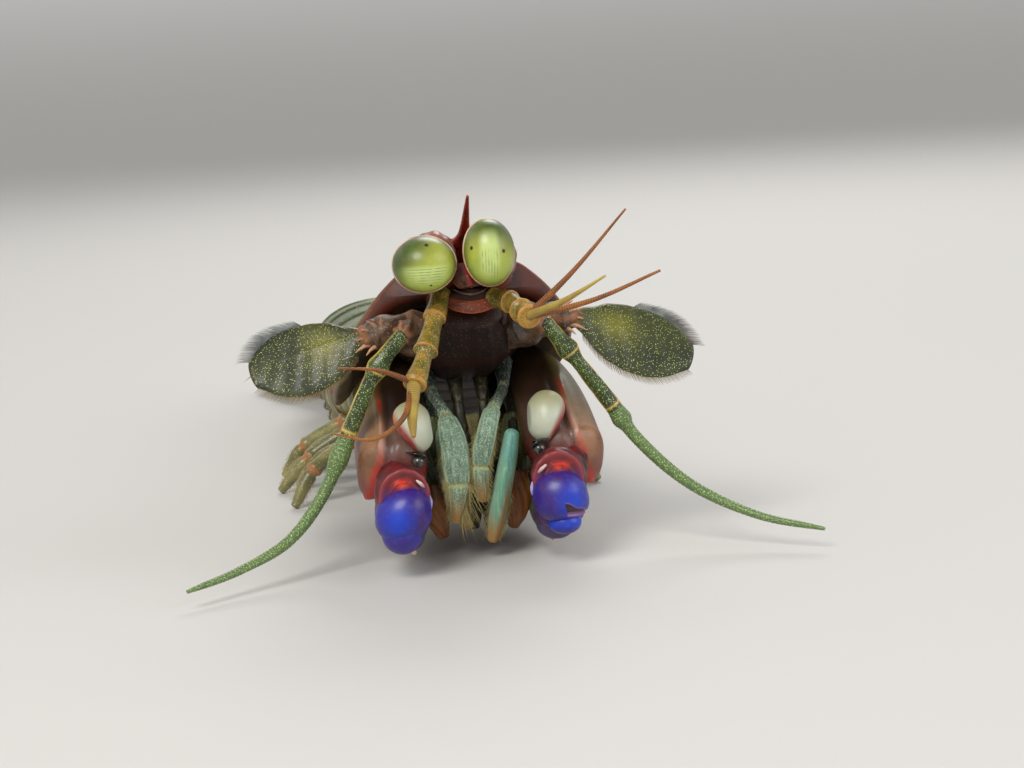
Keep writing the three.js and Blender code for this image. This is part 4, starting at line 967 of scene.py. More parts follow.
# Painted highlight: a pale lavender strip for the shine of light on the dome's inner flank.
gleam_highlight_paint = shell_finish("claw_painted_lavender_highlight", (176, 168, 214), (120, 104, 178), (206, 200, 232),
                           (206, 200, 232), rough=0.2, coat=0.5, flesh=0.3)
hand_paint = shell_finish("claw_hand_shell", (76, 84, 56), (40, 46, 84), (74, 58, 96), (150, 146, 106), rough=0.4,
                          coat=0.15, flesh=0.2)
hammer_paint = shell_finish("claw_hammer_shell", (170, 92, 66), (120, 50, 38), (226, 200, 184), (206, 150, 120),
                            speck_scale=4200.0, rough=0.22, coat=0.5, flesh=0.2)
ball_paint = shell_finish("claw_knob", (96, 102, 90), (62, 64, 56), (14, 12, 14), (150, 150, 140),
                          speck_scale=6200.0, speck_share=0.2, rough=0.15, coat=0.8, flesh=0.1)
black_paint = shell_finish("claw_crescent", (20, 14, 16), (10, 8, 10), (30, 18, 18), (60, 40, 40),
                           speck_scale=2300.0, speck_share=0.1, rough=0.25, coat=0.5, flesh=0.0)


def red_line(start, z):
    """Distance of the red line from the body's middle at height z: it runs outward ever faster on its way down."""
    return start + 1.6 * np.clip((LINE_TOP - z) / 7.1, 0, 1.2) ** 1.6


for word, s in SIDES:
    claw = {key: np.array(value, float) for key, value in CLAWS[word].items()}
    elbow, dome, lobe, knob = claw["elbow"], claw["dome"], claw["lobe"], claw["knob"]
    rings, _, _, row = limb_rings([claw["base"], [s * 5.6, 4.5, 9.5], elbow], [3.6, 4.9, 5.1, 4.8],
                                  [4.4, 5.4, 5.6, 5.3], rows=130, sides=110, dome=(0.5, 0.6), power=2.7)
    off_line = s * rings[..., 0] - red_line(claw["line"], rings[..., 2])
    forward_side = np.clip((3.5 - rings[..., 1]) / 2.0, 0, 1)
    seam = bump_at(off_line, -0.55, 0.3) * forward_side
    outward = unit(rings - row["centre"][:, None])
    swelling = 0.16 * bump_at(off_line, 0.12, 0.22) * forward_side
    rings = rings - (0.34 * seam)[..., None] * outward + swelling[..., None] * outward
    low = np.clip((LINE_TOP - rings[..., 2]) / 7.0, 0, 1)
    line = bump_at(off_line, 0.0, 0.09 + 0.26 * low**2) * forward_side
    red_part = np.clip(1.2 * np.clip(low * 3.2 - 1.0, 0, 1) + bump_at(low, 0.02, 0.08), 0, 1)
    red_foot = 0.85 * np.clip((low - 0.6) * 4, 0, 1)
    marks = {"inner": np.clip(-off_line / 0.25, 0, 1) * forward_side * 0.85,
             "shade": 0.9 * np.clip((rings[..., 2] - 9.6) / 1.4, 0, 1) * np.clip(-off_line / 0.4, 0, 1),
             "low": np.maximum(np.clip(low * 5 - 2.0, 0, 1) * np.clip(-off_line / 0.3, 0, 1), red_foot),
             "edge": np.clip(1.1 * line * red_part, 0, 1), "faint": np.clip(0.8 * line * (1 - red_part), 0, 1),
             "high": np.clip((rings[..., 2] - 8.6) / 2.6, 0, 1),
             # Painted shade: the outermost side of the upper joint, which lies in shadow, darkens to red-brown.
             "far": np.clip((s * rings[..., 0] - 7.9) / 0.7, 0, 1)}
    merus = sheet_of_rings(rings, marks)
    shell_piece(f"claw_merus_{word}", [merus], merus_paint, "claw_merus", f"raptorial_merus_{word}")

    rings, polar, _ = egg_rings(lobe, LOBE_SIZE, rows=70, sides=84)
    half = LOBE_SIZE / 2
    q = np.clip((lobe[2] + half[2] - rings[..., 2]) / LOBE_SIZE[2], 0, 1)
    outer_share = s * (rings[..., 0] - lobe[0]) / half[0]
    kept = np.where(outer_share > 0, outer_share * (1.04 - 0.9 * q**2),
                    np.maximum(outer_share, -0.8 - 0.06 * outer_share**2))
    rings[..., 0] = lobe[0] + s * (half[0] * kept - 0.1 - 0.25 * q**2)
    rings[..., 1] -= 0.75 + 0.7 * q**1.5
    low_outer = outer_share * 0.75 + q - 0.72
    blush = np.clip(3.5 * low_outer, 0, 1)
    margin = bump_at(polar, 1.28, 0.1)[:, None] * np.clip(5 * (low_outer + 0.1), 0, 1)
    lobe_form = sheet_of_rings(rings, {"height": q, "blush": blush, "edge": margin})
    shell_piece(f"claw_lobe_{word}", [lobe_form], lobe_paint, "claw_merus")

    wrist_path = [elbow + [0, -0.8, 0.2], [(elbow[0] + dome[0]) / 2, -3, 5.9], dome, [dome[0], -3.8, 3.6]]
    wrinkles = lambda t, a: 0.05 * np.sin(34 * t + 3 * np.sin(a)) * (t < 0.5)
    rings, t, _, _ = limb_rings(wrist_path, [2.2, 2.9, 3.6, 3.4], [2.4, 3.1, 3.6, 3], rows=120, sides=84,
                                dome=(0.6, 0.8), relief=wrinkles)
    wrist = sheet_of_rings(rings, {"violet": np.clip((t - 0.4) / 0.25, 0, 1)[:, None]})
    red, polar_red, _ = egg_rings(dome + [-s * 0.1, -0.35, 1.4], [3.7, 2.7, 3.9], rows=110, sides=120)
    u, w = s * (red[..., 0] - dome[0]), red[..., 2] - dome[2]
    ring_share = np.hypot((u - HOOD_CENTRE[0]) / HOOD_REACH[0], (w - HOOD_CENTRE[1]) / HOOD_REACH[1])
    ahead = (polar_red < 1.6)[:, None]
    arch = bump_at(ring_share, 0.97, 0.075) * ahead * np.clip((w - 0.6) / 0.5, 0, 1)
    inner_arch = bump_at(ring_share, 0.66, 0.06) * ahead * np.clip((w - 1.2) / 0.5, 0, 1)
    folds = (0.025 * np.sin(7 * u + 5 * w) + 0.1 * inner_arch) * ahead
    lift = 0.2 * arch - 0.16 * np.clip((0.9 - ring_share) * 8, 0, 1) * ahead + folds
    red = red + lift[..., None] * unit(red - dome - [0, 0, 1.35])
    hood = sheet_of_rings(red, {"edge": 0.85 * arch + 0.3 * inner_arch,
                                # Painted light: the spot inside the hood's arch where light shines through the skin.
                                "glow": bump_at(np.hypot(u / 1.5, (w - 2.3) * 1.4), 0.0, 0.4) * ahead,
                                "violet": 0.8 * np.clip((2.2 - w) / 0.5, 0, 1) * (ring_share < 0.97)})
    shell_piece(f"claw_wrist_{word}", [wrist, hood], wrist_paint, "claw_blue", f"raptorial_carpus_{word}")
    # Painted highlight: a pale cream strip where light shines along the wrist's bump.
    streak = [dome + [-s * x, y, z] for x, y, z in ((1.6, -1.0, 1.75), (1.35, -1.35, 2.1), (1.05, -1.5, 2.4))]
    # Painted highlight: a pale lavender strip where light shines on the dome's inner flank.
    gleam = [dome + [-s * x, y, z] for x, y, z in ((1.93, -0.75, 1.15), (1.99, -0.75, 0.7), (1.97, -0.75, 0.25))]
    shell_piece(f"claw_streak_highlight_{word}", [limb(streak, [0.12, 0.26, 0.14], rows=30, sides=16)], streak_highlight_paint, "claw_blue")
    shell_piece(f"claw_lavender_highlight_{word}", [limb(gleam, [0.12, 0.26, 0.12], rows=30, sides=16)], gleam_highlight_paint, "claw_blue")

    dome_at = dome + [-s * 0.08, -0.85, 0.1]
    rings, polar, _ = egg_rings(dome_at, DOME_SIZE, rows=110, sides=130)
    depth = np.clip((dome_at[2] - rings[..., 2]) / (DOME_SIZE[2] / 2), -1, 1)
    rings[..., 0] = dome_at[0] + (rings[..., 0] - dome_at[0]) * (1.0 + 0.16 * np.clip(depth, 0, 1)) + s * 0.16 * depth
    rings[..., 1] += 0.12 * np.sin(1.7 * (rings[..., 0] - dome_at[0])) * depth
    u, w = s * (rings[..., 0] - dome[0]), rings[..., 2] - dome[2]
    under_top = (-0.22 - 0.5 * (u - 0.1) + 0.05 * np.sin(6 * u)) - w
    over_low = w - (-1.12 - 0.12 * (u - 0.1) + 0.1 * (u - 0.5) ** 2)
    past_left = np.clip(((u - 0.02) + 0.2 * (w + 0.6)) / 0.12 + 0.5, 0, 1)
    in_front = (polar < 1.6)[:, None]
    cut = np.clip(under_top / 0.12, 0, 1) * np.clip(over_low / 0.12, 0, 1) * past_left * in_front * claw["notch"]
    lips = bump_at(under_top, 0.0, 0.07) * (over_low > -0.05) + bump_at(over_low, 0.0, 0.09) * (under_top > -0.05)
    outline = claw["notch"] * lips * past_left * in_front
    rings = rings - (0.3 * cut)[..., None] * unit(rings - dome)
    violet = np.clip((np.hypot((u - 0.5) / 1.25, (w + 0.15) / 1.5) - 0.35) / 0.9, 0, 1)
    blue_forms = [sheet_of_rings(rings, {"violet": violet, "notch": cut, "edge": np.clip(outline, 0, 1)})]
    whole = 1 - claw["notch"]
    rings = egg_rings(dome + [s * 0.1, -0.95 + 0.15 * whole, -1.75 + 0.55 * whole],
                      [2.3 + 0.5 * whole, 2.2 + 0.6 * whole, 1.7 + 1.3 * whole], rows=60, sides=72)[0]
    w = (rings[..., 2] - dome[2] + 1.75) / 0.85
    blue_forms.append(sheet_of_rings(rings, {"edge": 0.8 * claw["notch"] * bump_at(w, 0.66, 0.08),
                                             "violet": np.maximum(np.clip((-0.1 - w) / 0.6, 0, 1), 0.8 * whole)}))
    shell_piece(f"claw_dome_{word}", blue_forms, dome_paint, "claw_blue")

    hand = limb([[dome[0] * 0.97, -3, 2.3], [s * 5, 2.4, 3.3], [s * 4.8, 9.4, 5.2]], [2.4, 3, 2.9, 2.2],
                [1.8, 3, 2.9, 2], rows=100, sides=56,
                relief=lambda t, a: -0.2 * bump_at(np.sin(a), -1, 0.1) + 0.1 * bump_at(t, 0.06, 0.03),
                edge=lambda t, a: bump_at(t, 0.0, 0.035) + 0.5 * bump_at(t, 1, 0.03))
    shell_piece(f"claw_hand_{word}", [hand], hand_paint, "claw_hand", f"raptorial_propodus_{word}")
    hammer = limb([[s * 4.7, 11.6, 4.5], [s * 4.7, 9.4, 2.9], [s * 4.9, 4, 1.35], [s * 5, -0.4, 0.8]],
                  [1.6, 2.8, 1.6, 1.1, 0.8, 0.35], [1.8, 2.6, 1.5, 1.2, 0.9, 0.4], rows=110, sides=44,
                  dome=(0.8, 0.4), relief=lambda t, a: 0.12 * bump_at(np.sin(a), 1, 0.08) * (t > 0.35),
                  edge=lambda t, a: bump_at(t, 1, 0.12))
    shell_piece(f"claw_hammer_{word}", [hammer], hammer_paint, "claw_hand", f"raptorial_dactyl_{word}")

    rings = egg_rings(knob, [0.84, 0.8, 0.8], rows=30, sides=36)[0]
    off_pupil = np.hypot(rings[..., 0] - knob[0], rings[..., 2] - knob[2] - 0.06)
    pupil = bump_at(off_pupil, 0.0, 0.2) * (rings[..., 1] < knob[1])
    shell_piece(f"claw_knob_{word}", [sheet_of_rings(rings, {"edge": 0.9 * pupil})], ball_paint, "claw_merus")
    crescent = [knob + [s * x, y, z] for x, y, z in ((-0.52, 0.1, 0.12), (-0.34, -0.1, 0.46), (0.1, -0.1, 0.62),
                                                     (0.55, 0.05, 0.66), (0.95, 0.2, 0.76))]
    black = limb(crescent, [0.5, 0.7, 0.7, 0.5, 0.2], [0.08, 0.24, 0.2, 0.12, 0.05], across=(0, 1, 0), rows=60,
                 sides=20)
    shell_piece(f"claw_crescent_{word}", [black], black_paint, "claw_merus")

# Mouth limbs
# Four pairs hang in front of the mouth. The first is a slender brush; the others have a rod, a flat see-through
# hand and a narrow end, teal with fine pale grains and straw-yellow hair. One shows as a smooth cyan finger. Soft
# moss green, amber and brown leaves hang behind them.

HAND = [1.3, 1.05, 0.9, 0.8, 0.75, 0.8, 1.35, 1.8, 1.85, 1.6, 1.05, 0.9, 0.5]
SMALL_HAND = [1.3, 1.0, 0.8, 0.7, 0.7, 0.8, 1.1, 1.25, 1.25, 1.1, 1.0, 0.85, 0.45]
FINGER_ROD = [1.2, 0.9, 0.7, 0.6, 0.5]
FINGER = [1.0, 1.1, 1.16, 1.2, 1.24, 1.26, 1.2, 1.05, 0.7]
OVAL_HAND = [1.4, 1.2, 1.1, 1, 1, 1.1, 1.6, 2.2, 2.3, 2.0, 1.4, 1, 0.6]
HAND_THICK = [1.3, 1.1, 1, 0.9, 0.8, 0.75, 0.8, 0.9, 0.85, 0.7, 0.65, 0.6, 0.4]
MOUTH_LIMBS = {
    "3_left": (SMALL_HAND, "teal",
               [[2.8, 5, 12.9], [2.3, 2.4, 11.4], [0.95, -0.9, 10.2], [-0.1, -1.95, 7], [-0.1, -1.7, 4.3]]),
    "3_right": (HAND, "teal",
                [[-2.9, 5, 12.9], [-2.75, 2.4, 11.5], [-2.05, -0.6, 9.8], [-1.75, -1.9, 5.9], [-2.1, -1.7, 3]]),
    "4_left": (FINGER, "cyan", [[2.3, -0.7, 8.5], [1.8, -1.25, 6.7], [1.2, -1.35, 4.4], [0.5, -1, 1.4]]),
    "4_right": (HAND, "teal", [[-3, 7.4, 12], [-2.6, 4.4, 10.3], [-2, 1.8, 8.6], [-1.7, 0.8, 5], [-1, 0.4, 2]]),
    "5_left": (OVAL_HAND, "moss",
               [[2.4, 9.6, 11.2], [2.5, 7.2, 9.5], [2.9, 4.9, 7.9], [2.9, 3.9, 5.2], [2.4, 3.7, 2.2]]),
    "5_right": (OVAL_HAND, "moss",
                [[-2.4, 9.6, 11.2], [-2.6, 7.2, 9.5], [-3.1, 4.9, 7.9], [-3.1, 3.9, 5.2], [-2.6, 3.7, 2.2]]),
}
BACK_LEAVES = {
    "left": [([2.75, 2.4, 9.4], [2.75, 2.0, 7.2], [2.5, 1.8, 4.8]),
             ([3.0, 1.2, 5.4], [2.85, 1.0, 3.7], [2.3, 1.0, 1.8]),
             ([1.2, 2.8, 6.4], [1.1, 2.6, 4.3], [0.9, 2.2, 1.7])],
    "right": [([-3.0, 2.4, 9.6], [-3.2, 2.0, 7.4], [-3.0, 1.8, 5.0]),
              ([-3.2, 1.2, 5.0], [-3.2, 1.0, 3.4], [-2.7, 1.0, 1.5]),
              ([-0.5, 2.8, 6.4], [-0.4, 2.6, 4.3], [-0.4, 2.2, 1.7])],
}
SKINS = {}
for skin, rod, broad, grain, low_end in (
        ("teal", (50, 58, 52), (110, 138, 114), (188, 208, 178), (160, 112, 44)),
        ("cyan", (92, 150, 136), (106, 158, 128), (172, 198, 172), (164, 112, 42)),
        ("moss", (34, 28, 15), (64, 76, 28), (118, 120, 58), (112, 58, 18))):
    material, tree, shader = bare_material(f"mouth_limb_{skin}", rough=0.5, coat=0.05, flesh=0.5,
                                           flesh_colour=(0.5, 1.0, 0.8))
    t_along = mark_of(tree, "along")
    drawn = node(tree, "ShaderNodeMapping", {"Vector": own_place(tree), "Scale": [1.0, 1.0, 0.14]})
    fibre = node(tree, "ShaderNodeTexNoise", {"Vector": drawn.outputs["Vector"], "Scale": 5200.0, "Detail": 3.0})
    fine = times(tree, specks(tree, 9000.0, 0.4, 0.78), ramp(tree, t_along, 0.3, 0.5))
    painted(tree, shader, tinted(tree, ramp(tree, t_along, 0.4, 0.52), rod, broad), [
        (mottle(tree, 1300.0), 0.3, rod),
        ("rim", 0.6, grain),
        ("vein", 0.75, (44, 112, 112)),
        (ramp(tree, fibre.outputs["Fac"], 0.5, 0.7), 0.4, grain),
        (ramp(tree, fibre.outputs["Fac"], 0.5, 0.3), 0.35, rod),
        (fine, 0.15 if skin == "cyan" else 0.6, grain),
        (ramp(tree, t_along, 0.78, 1.0), 0.85, low_end),
        ("edge", 0.6, (176, 170, 100)),
        ("gold", 0.85, (158, 100, 26))], strength=0.2)
    SKINS[skin] = material
# Near black: on the cyan finger's rod this is painted shade, where the rod comes down from behind; the brown back
# leaves use it too.
rod_paint = shell_finish("mouth_rod", (36, 30, 20), (22, 17, 12), (70, 62, 38), (90, 84, 54), speck_scale=6200.0,
                         rough=0.55, coat=0.03, flesh=0.2)
leaf_skin = shell_finish("mouth_back_leaf", (74, 86, 32), (48, 50, 18), (112, 106, 44), (120, 128, 62),
                         speck_scale=6200.0, rough=0.45, coat=0.1, flesh=0.5)
amber_skin = shell_finish("mouth_amber_leaf", (140, 82, 26), (92, 50, 16), (132, 118, 38), (150, 100, 46),
                          speck_scale=6200.0, rough=0.45, coat=0.1, flesh=0.5)
straw_hair = hair_finish("straw_hair", (190, 172, 104), (142, 122, 66), rough=0.5)

for name, (wide, skin, route) in MOUTH_LIMBS.items():
    smooth = skin == "cyan"
    jointed = not smooth
    seam = lambda t, a: -0.1 * jointed * sum(bump_at(t, joint, 0.012) for joint in (0.25, 0.46, 0.77)) \
        + 0.04 * bump_at(np.abs(np.cos(a)), 1, 0.03) + 0.03 * jointed * np.sin(12 * a + 30 * t)
    rings, t, angle, row = limb_rings(route, wide, FINGER if smooth else HAND_THICK, rows=190, sides=48, relief=seam,
                                      dome=(1.0, 0.8) if smooth else (0.5, 0.5))
    seams = jointed * (0.5 * bump_at(t, 0.25, 0.012) + 0.5 * bump_at(t, 0.46, 0.015) + bump_at(t, 0.775, 0.015))
    facing = np.cos(angle)[None, :]
    gold = smooth * np.clip((t - 0.42) * 4, 0, 1)[:, None] * bump_at(facing, 0.55, 0.3) \
        * (np.sin(angle) > -0.2)[None, :]
    marks = {"along": t[:, None] * (0.8 if smooth else 1) + (0.2 if smooth else 0),
             "edge": np.clip(seams, 0, 1)[:, None], "gold": gold,
             "vein": smooth * bump_at(facing, 0.1, 0.2) * bump_at(t, 0.3, 0.35)[:, None],
             "rim": bump_at(np.abs(facing), 1, 0.3 if smooth else 0.12) * ((t > 0.45)[:, None] | smooth)}
    shell_piece(f"mouth_limb_{name}", [sheet_of_rings(rings, marks)], SKINS[skin], "maxilliped", f"maxilliped_{name}")
    if smooth:
        # Painted shade: the finger's rod, coming down from behind, is near black.
        rod = limb([[3, 7.4, 12], [3.0, 3.6, 9.9], [2.6, 0.8, 8.0], [2.3, -0.3, 7.8]], FINGER_ROD, rows=60, sides=28)
        shell_piece(f"mouth_limb_rod_{name}", [rod], rod_paint, "maxilliped")
    tufts = both_edges(row, t, 0.6, 0.985, 90, (0.45, 0.9), 0.05, out=(0.6, 0.5), ahead=(0.8, 1.2), wild=0.12)
    if name == "3_right":
        tufts.append(edge_fringe(row, t, 1, 0.66, 0.98, 44, (1.6, 3.2), 0.06, out=(0.6, 0.4), ahead=(1.0, 1.2),
                                 wild=0.2, bend=0.08))
        tufts.append(edge_fringe(row, t, -1, 0.72, 0.98, 50, (0.9, 1.6), 0.045, out=(0.3, 0.2), ahead=(1.0, 1.2),
                                 wild=0.1))
    hair_piece(f"mouth_limb_hair_{name}", tufts, straw_hair, "maxilliped")

for word, s in SIDES:
    for path, skin, kind in zip(BACK_LEAVES[word], (leaf_skin, amber_skin, rod_paint), ("moss", "amber", "brown")):
        leaf = limb(path, [0.9, 1.5, 1.7, 1.5, 0.8], [0.5, 0.7, 0.7, 0.5], rows=60, sides=40, dome=(1.0, 1.0),
                    relief=lambda t, a: 0.04 * np.sin(8 * a + 14 * t),
                    edge=lambda t, a: 0.7 * bump_at(np.abs(np.cos(a)), 1, 0.06))
        shell_piece(f"mouth_{kind}_leaf_{word}", [leaf], skin, "maxilliped")
    brush_path = [[s * 0.9, 4.4, 12.6], [s * 0.9, 2.6, 10.6], [s * 0.8, 1.9, 8.6], [s * 0.6, 1.6, 6.6]]
    rings, t, _, row = limb_rings(brush_path, [1.3, 0.9, 0.8, 1, 0.6], rows=80, sides=24,
                                  relief=lambda t, a: -0.08 * (bump_at(t, 0.33, 0.02) + bump_at(t, 0.66, 0.02)))
    brush = sheet_of_rings(rings, {"along": 0.3 * t[:, None]})
    shell_piece(f"mouth_brush_{word}", [brush], SKINS["moss"], "maxilliped", f"maxilliped_1_{word}")
    tufts = both_edges(row, t, 0.5, 0.98, 110, (0.7, 1.3), 0.05, wild=0.2)
    hair_piece(f"mouth_brush_hair_{word}", tufts, straw_hair, "maxilliped")

# Thorax underside
# The shell plates under the carapace that the claws and mouth limbs hang from. They are thin and dark brown, and
# shallow seams part them. Plates and flesh are one form here, as wide as the space inside the shield.

CORE = [[0, 0], [0.6, 0], [0.9, -0.8], [1, -2.4], [0.85, -4], [0.5, -4.8], [0, -5]]
under_paint = shell_finish("underside_shell", (46, 30, 18), (28, 18, 11), (52, 34, 22), (84, 62, 42),
                           speck_scale=4800.0, rough=0.55, coat=0.04, flesh=0.15)
y_rows = np.linspace(6.2, CARAPACE_BACK, 100)
share = np.linspace(0, 1, 100)
plates = lambda t, a: -0.25 * np.abs(np.cos(np.pi * 5 * t)) ** 14 * (a > 0.35)
rings, around = body_rings(CORE, y_rows, back_height(y_rows) - 3.2, eased([4.2, 4.8, 5.4, 5.9, 6.2], share),
                           np.ones(100), plates, 48)
seam_mark = (np.abs(np.cos(np.pi * 5 * share)) ** 14)[:, None] * (around > 0.35)[None, :]
underside = sheet_of_rings(rings, {"edge": 0.4 * seam_mark}, flat_ends=True)
shell_piece("thorax_underside", [underside], under_paint, "underside", "thorax_core")

# Trunk somites
# Three free rings of the thorax and six of the abdomen. Each is one arched shell plate, tucked in front under the
# one before, with a raised rear rim and side flaps that hang past the soft underside.

SOMITE = [
    [0, 0], [0.22, -0.05], [0.45, -0.35], [0.7, -1.2], [0.9, -2.9], [1, -5.2],
    [0.97, -7.2], [0.88, -7.7], [0.78, -7], [0.5, -6.5], [0, -6.6],
]
THORAX_SOMITE, ABDOMEN_SOMITE, LAST_SOMITE = 3.6, 6.6, 5.4
THORAX_FRONT = 23.4
ABDOMEN_FRONT = THORAX_FRONT + 3 * THORAX_SOMITE
TELSON_FRONT = ABDOMEN_FRONT + 5 * ABDOMEN_SOMITE + LAST_SOMITE
GAP = 0.3
ABDOMEN_DEPTHS = [1, 1, 1, 0.98, 0.88, 0.66]
SOMITES = [(f"thoracic_somite_{i + 6}", THORAX_FRONT + i * THORAX_SOMITE, THORAX_SOMITE, width, 0.92)
           for i, width in enumerate([7.2, 7.5, 7.9])]
SOMITES += [(f"abdominal_somite_{i + 1}", ABDOMEN_FRONT + i * ABDOMEN_SOMITE, length, width, depth)
            for i, (length, width, depth) in enumerate(zip([ABDOMEN_SOMITE] * 5 + [LAST_SOMITE],
                                                           [8.2, 8.4, 8.4, 8.3, 8.0, 7.0], ABDOMEN_DEPTHS))]


def somite_relief(t, around):
    """A raised rear rim with a groove before it, a groove along each flank, and a soft cross fold."""
    outer = around < 0.68
    rim = 0.17 * bump_at(t, 0.95, 0.035) - 0.12 * bump_at(t, 0.86, 0.025)
    flank = -0.16 * bump_at(around, 0.42, 0.012) * np.sin(np.pi * np.clip(t * 1.1, 0, 1))
    fold = -0.08 * bump_at(t, 0.24, 0.03)
    return np.where(outer, rim + flank + fold, 0)


somite_paint, tree, shader = bare_material("somite_shell", rough=0.42, coat=0.18, flesh=0.1)
painted(tree, shader, tinted(tree, mottle(tree, 380.0), (88, 100, 48), (56, 70, 34)), [
    (mottle(tree, 1500.0, 0.5, 0.7), 0.5, (44, 52, 26)),
    (specks(tree, 3600.0, 0.3, 0.85), 0.6, (170, 168, 100)),
    ("flank", 0.5, (142, 128, 74)),
    ("dark", 1.0, (40, 44, 22)),
    ("edge", ramp(tree, mottle(tree, 700.0), 0.0, 0.5), (140, 66, 28)),
    ("edge", 0.5, (132, 72, 34))])

for name, start, length, width, depth in SOMITES:
    share = np.linspace(0, 1, 56)
    scale = 0.95 + 0.045 * np.clip(share / 0.2, 0, 1) + 0.005 * np.clip((share - 0.2) / 0.3, 0, 1)
    y_rows = start + GAP / 2 + (length - GAP) * share
    rings, around = body_rings(SOMITE, y_rows, back_height(y_rows) - (1 - scale) * SHRINK_DEPTH, width * scale,
                               depth * scale, somite_relief, 80)
    outer = (around < 0.72)[None, :]
    rim = 0.85 * bump_at(share, 0.99, 0.026)[:, None] * outer + 0.6 * bump_at(around, 0.64, 0.02)[None, :]
    marks = {"edge": np.clip(rim, 0, 1), "dark": 0.7 * bump_at(share, 0.86, 0.03)[:, None] * outer,
             "flank": np.clip((around - 0.4) * 4, 0, 1)[None, :]}
    surfaces = [sheet_of_rings(rings, marks, flat_ends=True)]
    if name == "abdominal_somite_6":
        end = start + LAST_SOMITE
        for x in (-5.4, -3.4, -1.3, 1.3, 3.4, 5.4):
            top = float(back_height(end)) - 0.011 * x * x * abs(x)
            surfaces.append(limb([[x, start + 1.6, top + 1.5], [x, end - 1.2, top + 0.4], [x, end + 0.1, top - 0.3]],
                                 [0.5, 1.3, 1.1, 0.3], rows=50, sides=24, edge=lambda t, a: bump_at(t, 1, 0.2)))
    shell_piece(f"{name}_plate", surfaces, somite_paint, "somites", name)

# Telson
# The end plate of the tail: thick green shell with five swollen keels and three pairs of strong teeth, whose two
# middle ones rest on the floor.

FAN = [[0, 0], [0.35, -0.1], [0.68, -0.35], [0.92, -0.75], [1, -1.1], [0.9, -1.45], [0.5, -1.6], [0, -1.6]]
TELSON_LENGTH, TELSON_SLOPE, TELSON_TOP = 10.0, 0.46, 6.3
KEELS = [(0.0, 1.2, 8.6, 1.9), (2.1, 1.8, 8.6, 1.4), (4.2, 2.2, 7.6, 1.2)]


def telson_top(y):
    """Height of the tail plate, a straight slope down to the rear."""
    return TELSON_TOP - TELSON_SLOPE * (y - TELSON_FRONT)


telson_paint = shell_finish("telson_shell", (70, 96, 46), (38, 62, 34), (196, 134, 62), (166, 180, 100),
                            speck_scale=3800.0, rough=0.38, coat=0.2, flesh=0.12)
share = np.linspace(0, 1, 90)
y_rows = TELSON_FRONT + GAP / 2 + TELSON_LENGTH * share
beads = lambda t, a: 0.08 * bump_at(a, 0.57, 0.03) - 0.05 * bump_at(a, 0.4, 0.03)
rings, around = body_rings(FAN, y_rows, telson_top(y_rows), eased([4.8, 6.1, 6.5, 6.4, 5.4, 3.6], share),
                           np.ones(90), beads, 64)
border = 0.8 * np.clip(bump_at(around, 0.57, 0.05)[None, :] + bump_at(share, 1, 0.05)[:, None], 0, 1)
telson = [sheet_of_rings(rings, {"edge": border}, flat_ends=True)]
for x, start, end, thick in KEELS:
    for place in ([-x, x] if x else [0.0]):
        points = [[place, TELSON_FRONT + y, telson_top(TELSON_FRONT + y) - 0.15 - 0.01 * x * x]
                  for y in (start, (start + end) / 2, end)]
        telson.append(limb(points, [0.3, thick * 0.9, thick, thick * 0.85, 0.35], rows=80, sides=32, dome=(0.5, 0.5),
                           edge=lambda t, a: 0.6 * bump_at(t, 1, 0.12)))
tip_mark = lambda t, a: bump_at(t, 1, 0.35)
for s in (-1, 1):
    telson.append(limb([[s * 1.9, TELSON_FRONT + 8.4, 1.4], [s * 1.75, TELSON_FRONT + 10.2, 0.62],
                        [s * 1.6, TELSON_FRONT + 12, 0.32]], [2.4, 1.5, 0.4], [1.3, 1.1, 0.5], rows=50, sides=28,
                       edge=tip_mark))
    telson.append(limb([[s * 4.4, TELSON_FRONT + 7.6, 1.7], [s * 4.3, TELSON_FRONT + 9.3, 1.25],
                        [s * 4.1, TELSON_FRONT + 10.7, 0.75]], [1.6, 1.1, 0.22], rows=40, sides=24, edge=tip_mark))
    telson.append(limb([[s * 5.7, TELSON_FRONT + 4.6, 3], [s * 6, TELSON_FRONT + 6.2, 2.55],
                        [s * 6.2, TELSON_FRONT + 7.6, 2.1]], [1.3, 0.9, 0.2], rows=40, sides=24, edge=tip_mark))
shell_piece("telson_plate", telson, telson_paint, "telson", "telson")

# Tail fans
# Beside the telson: a base with a forked spine, an outer branch whose first joint has a comb of movable spines and
# whose second is a paddle, and an inner paddle, both fringed with swimming hairs.

fan_paint, tree, shader = bare_material("tail_fan_shell", rough=0.4, coat=0.15, flesh=0.25,
                                        flesh_colour=(0.5, 1.0, 0.7))
painted(tree, shader, tinted(tree, ramp(tree, mark_of(tree, "along"), 0.2, 0.8), (74, 110, 62), (44, 104, 106)), [
    (mottle(tree, 700.0), 0.5, (40, 66, 44)),
    (specks(tree, 4200.0, 0.3, 0.8), 0.5, (170, 182, 104)),
    ("edge", 1.0, (214, 120, 56))])

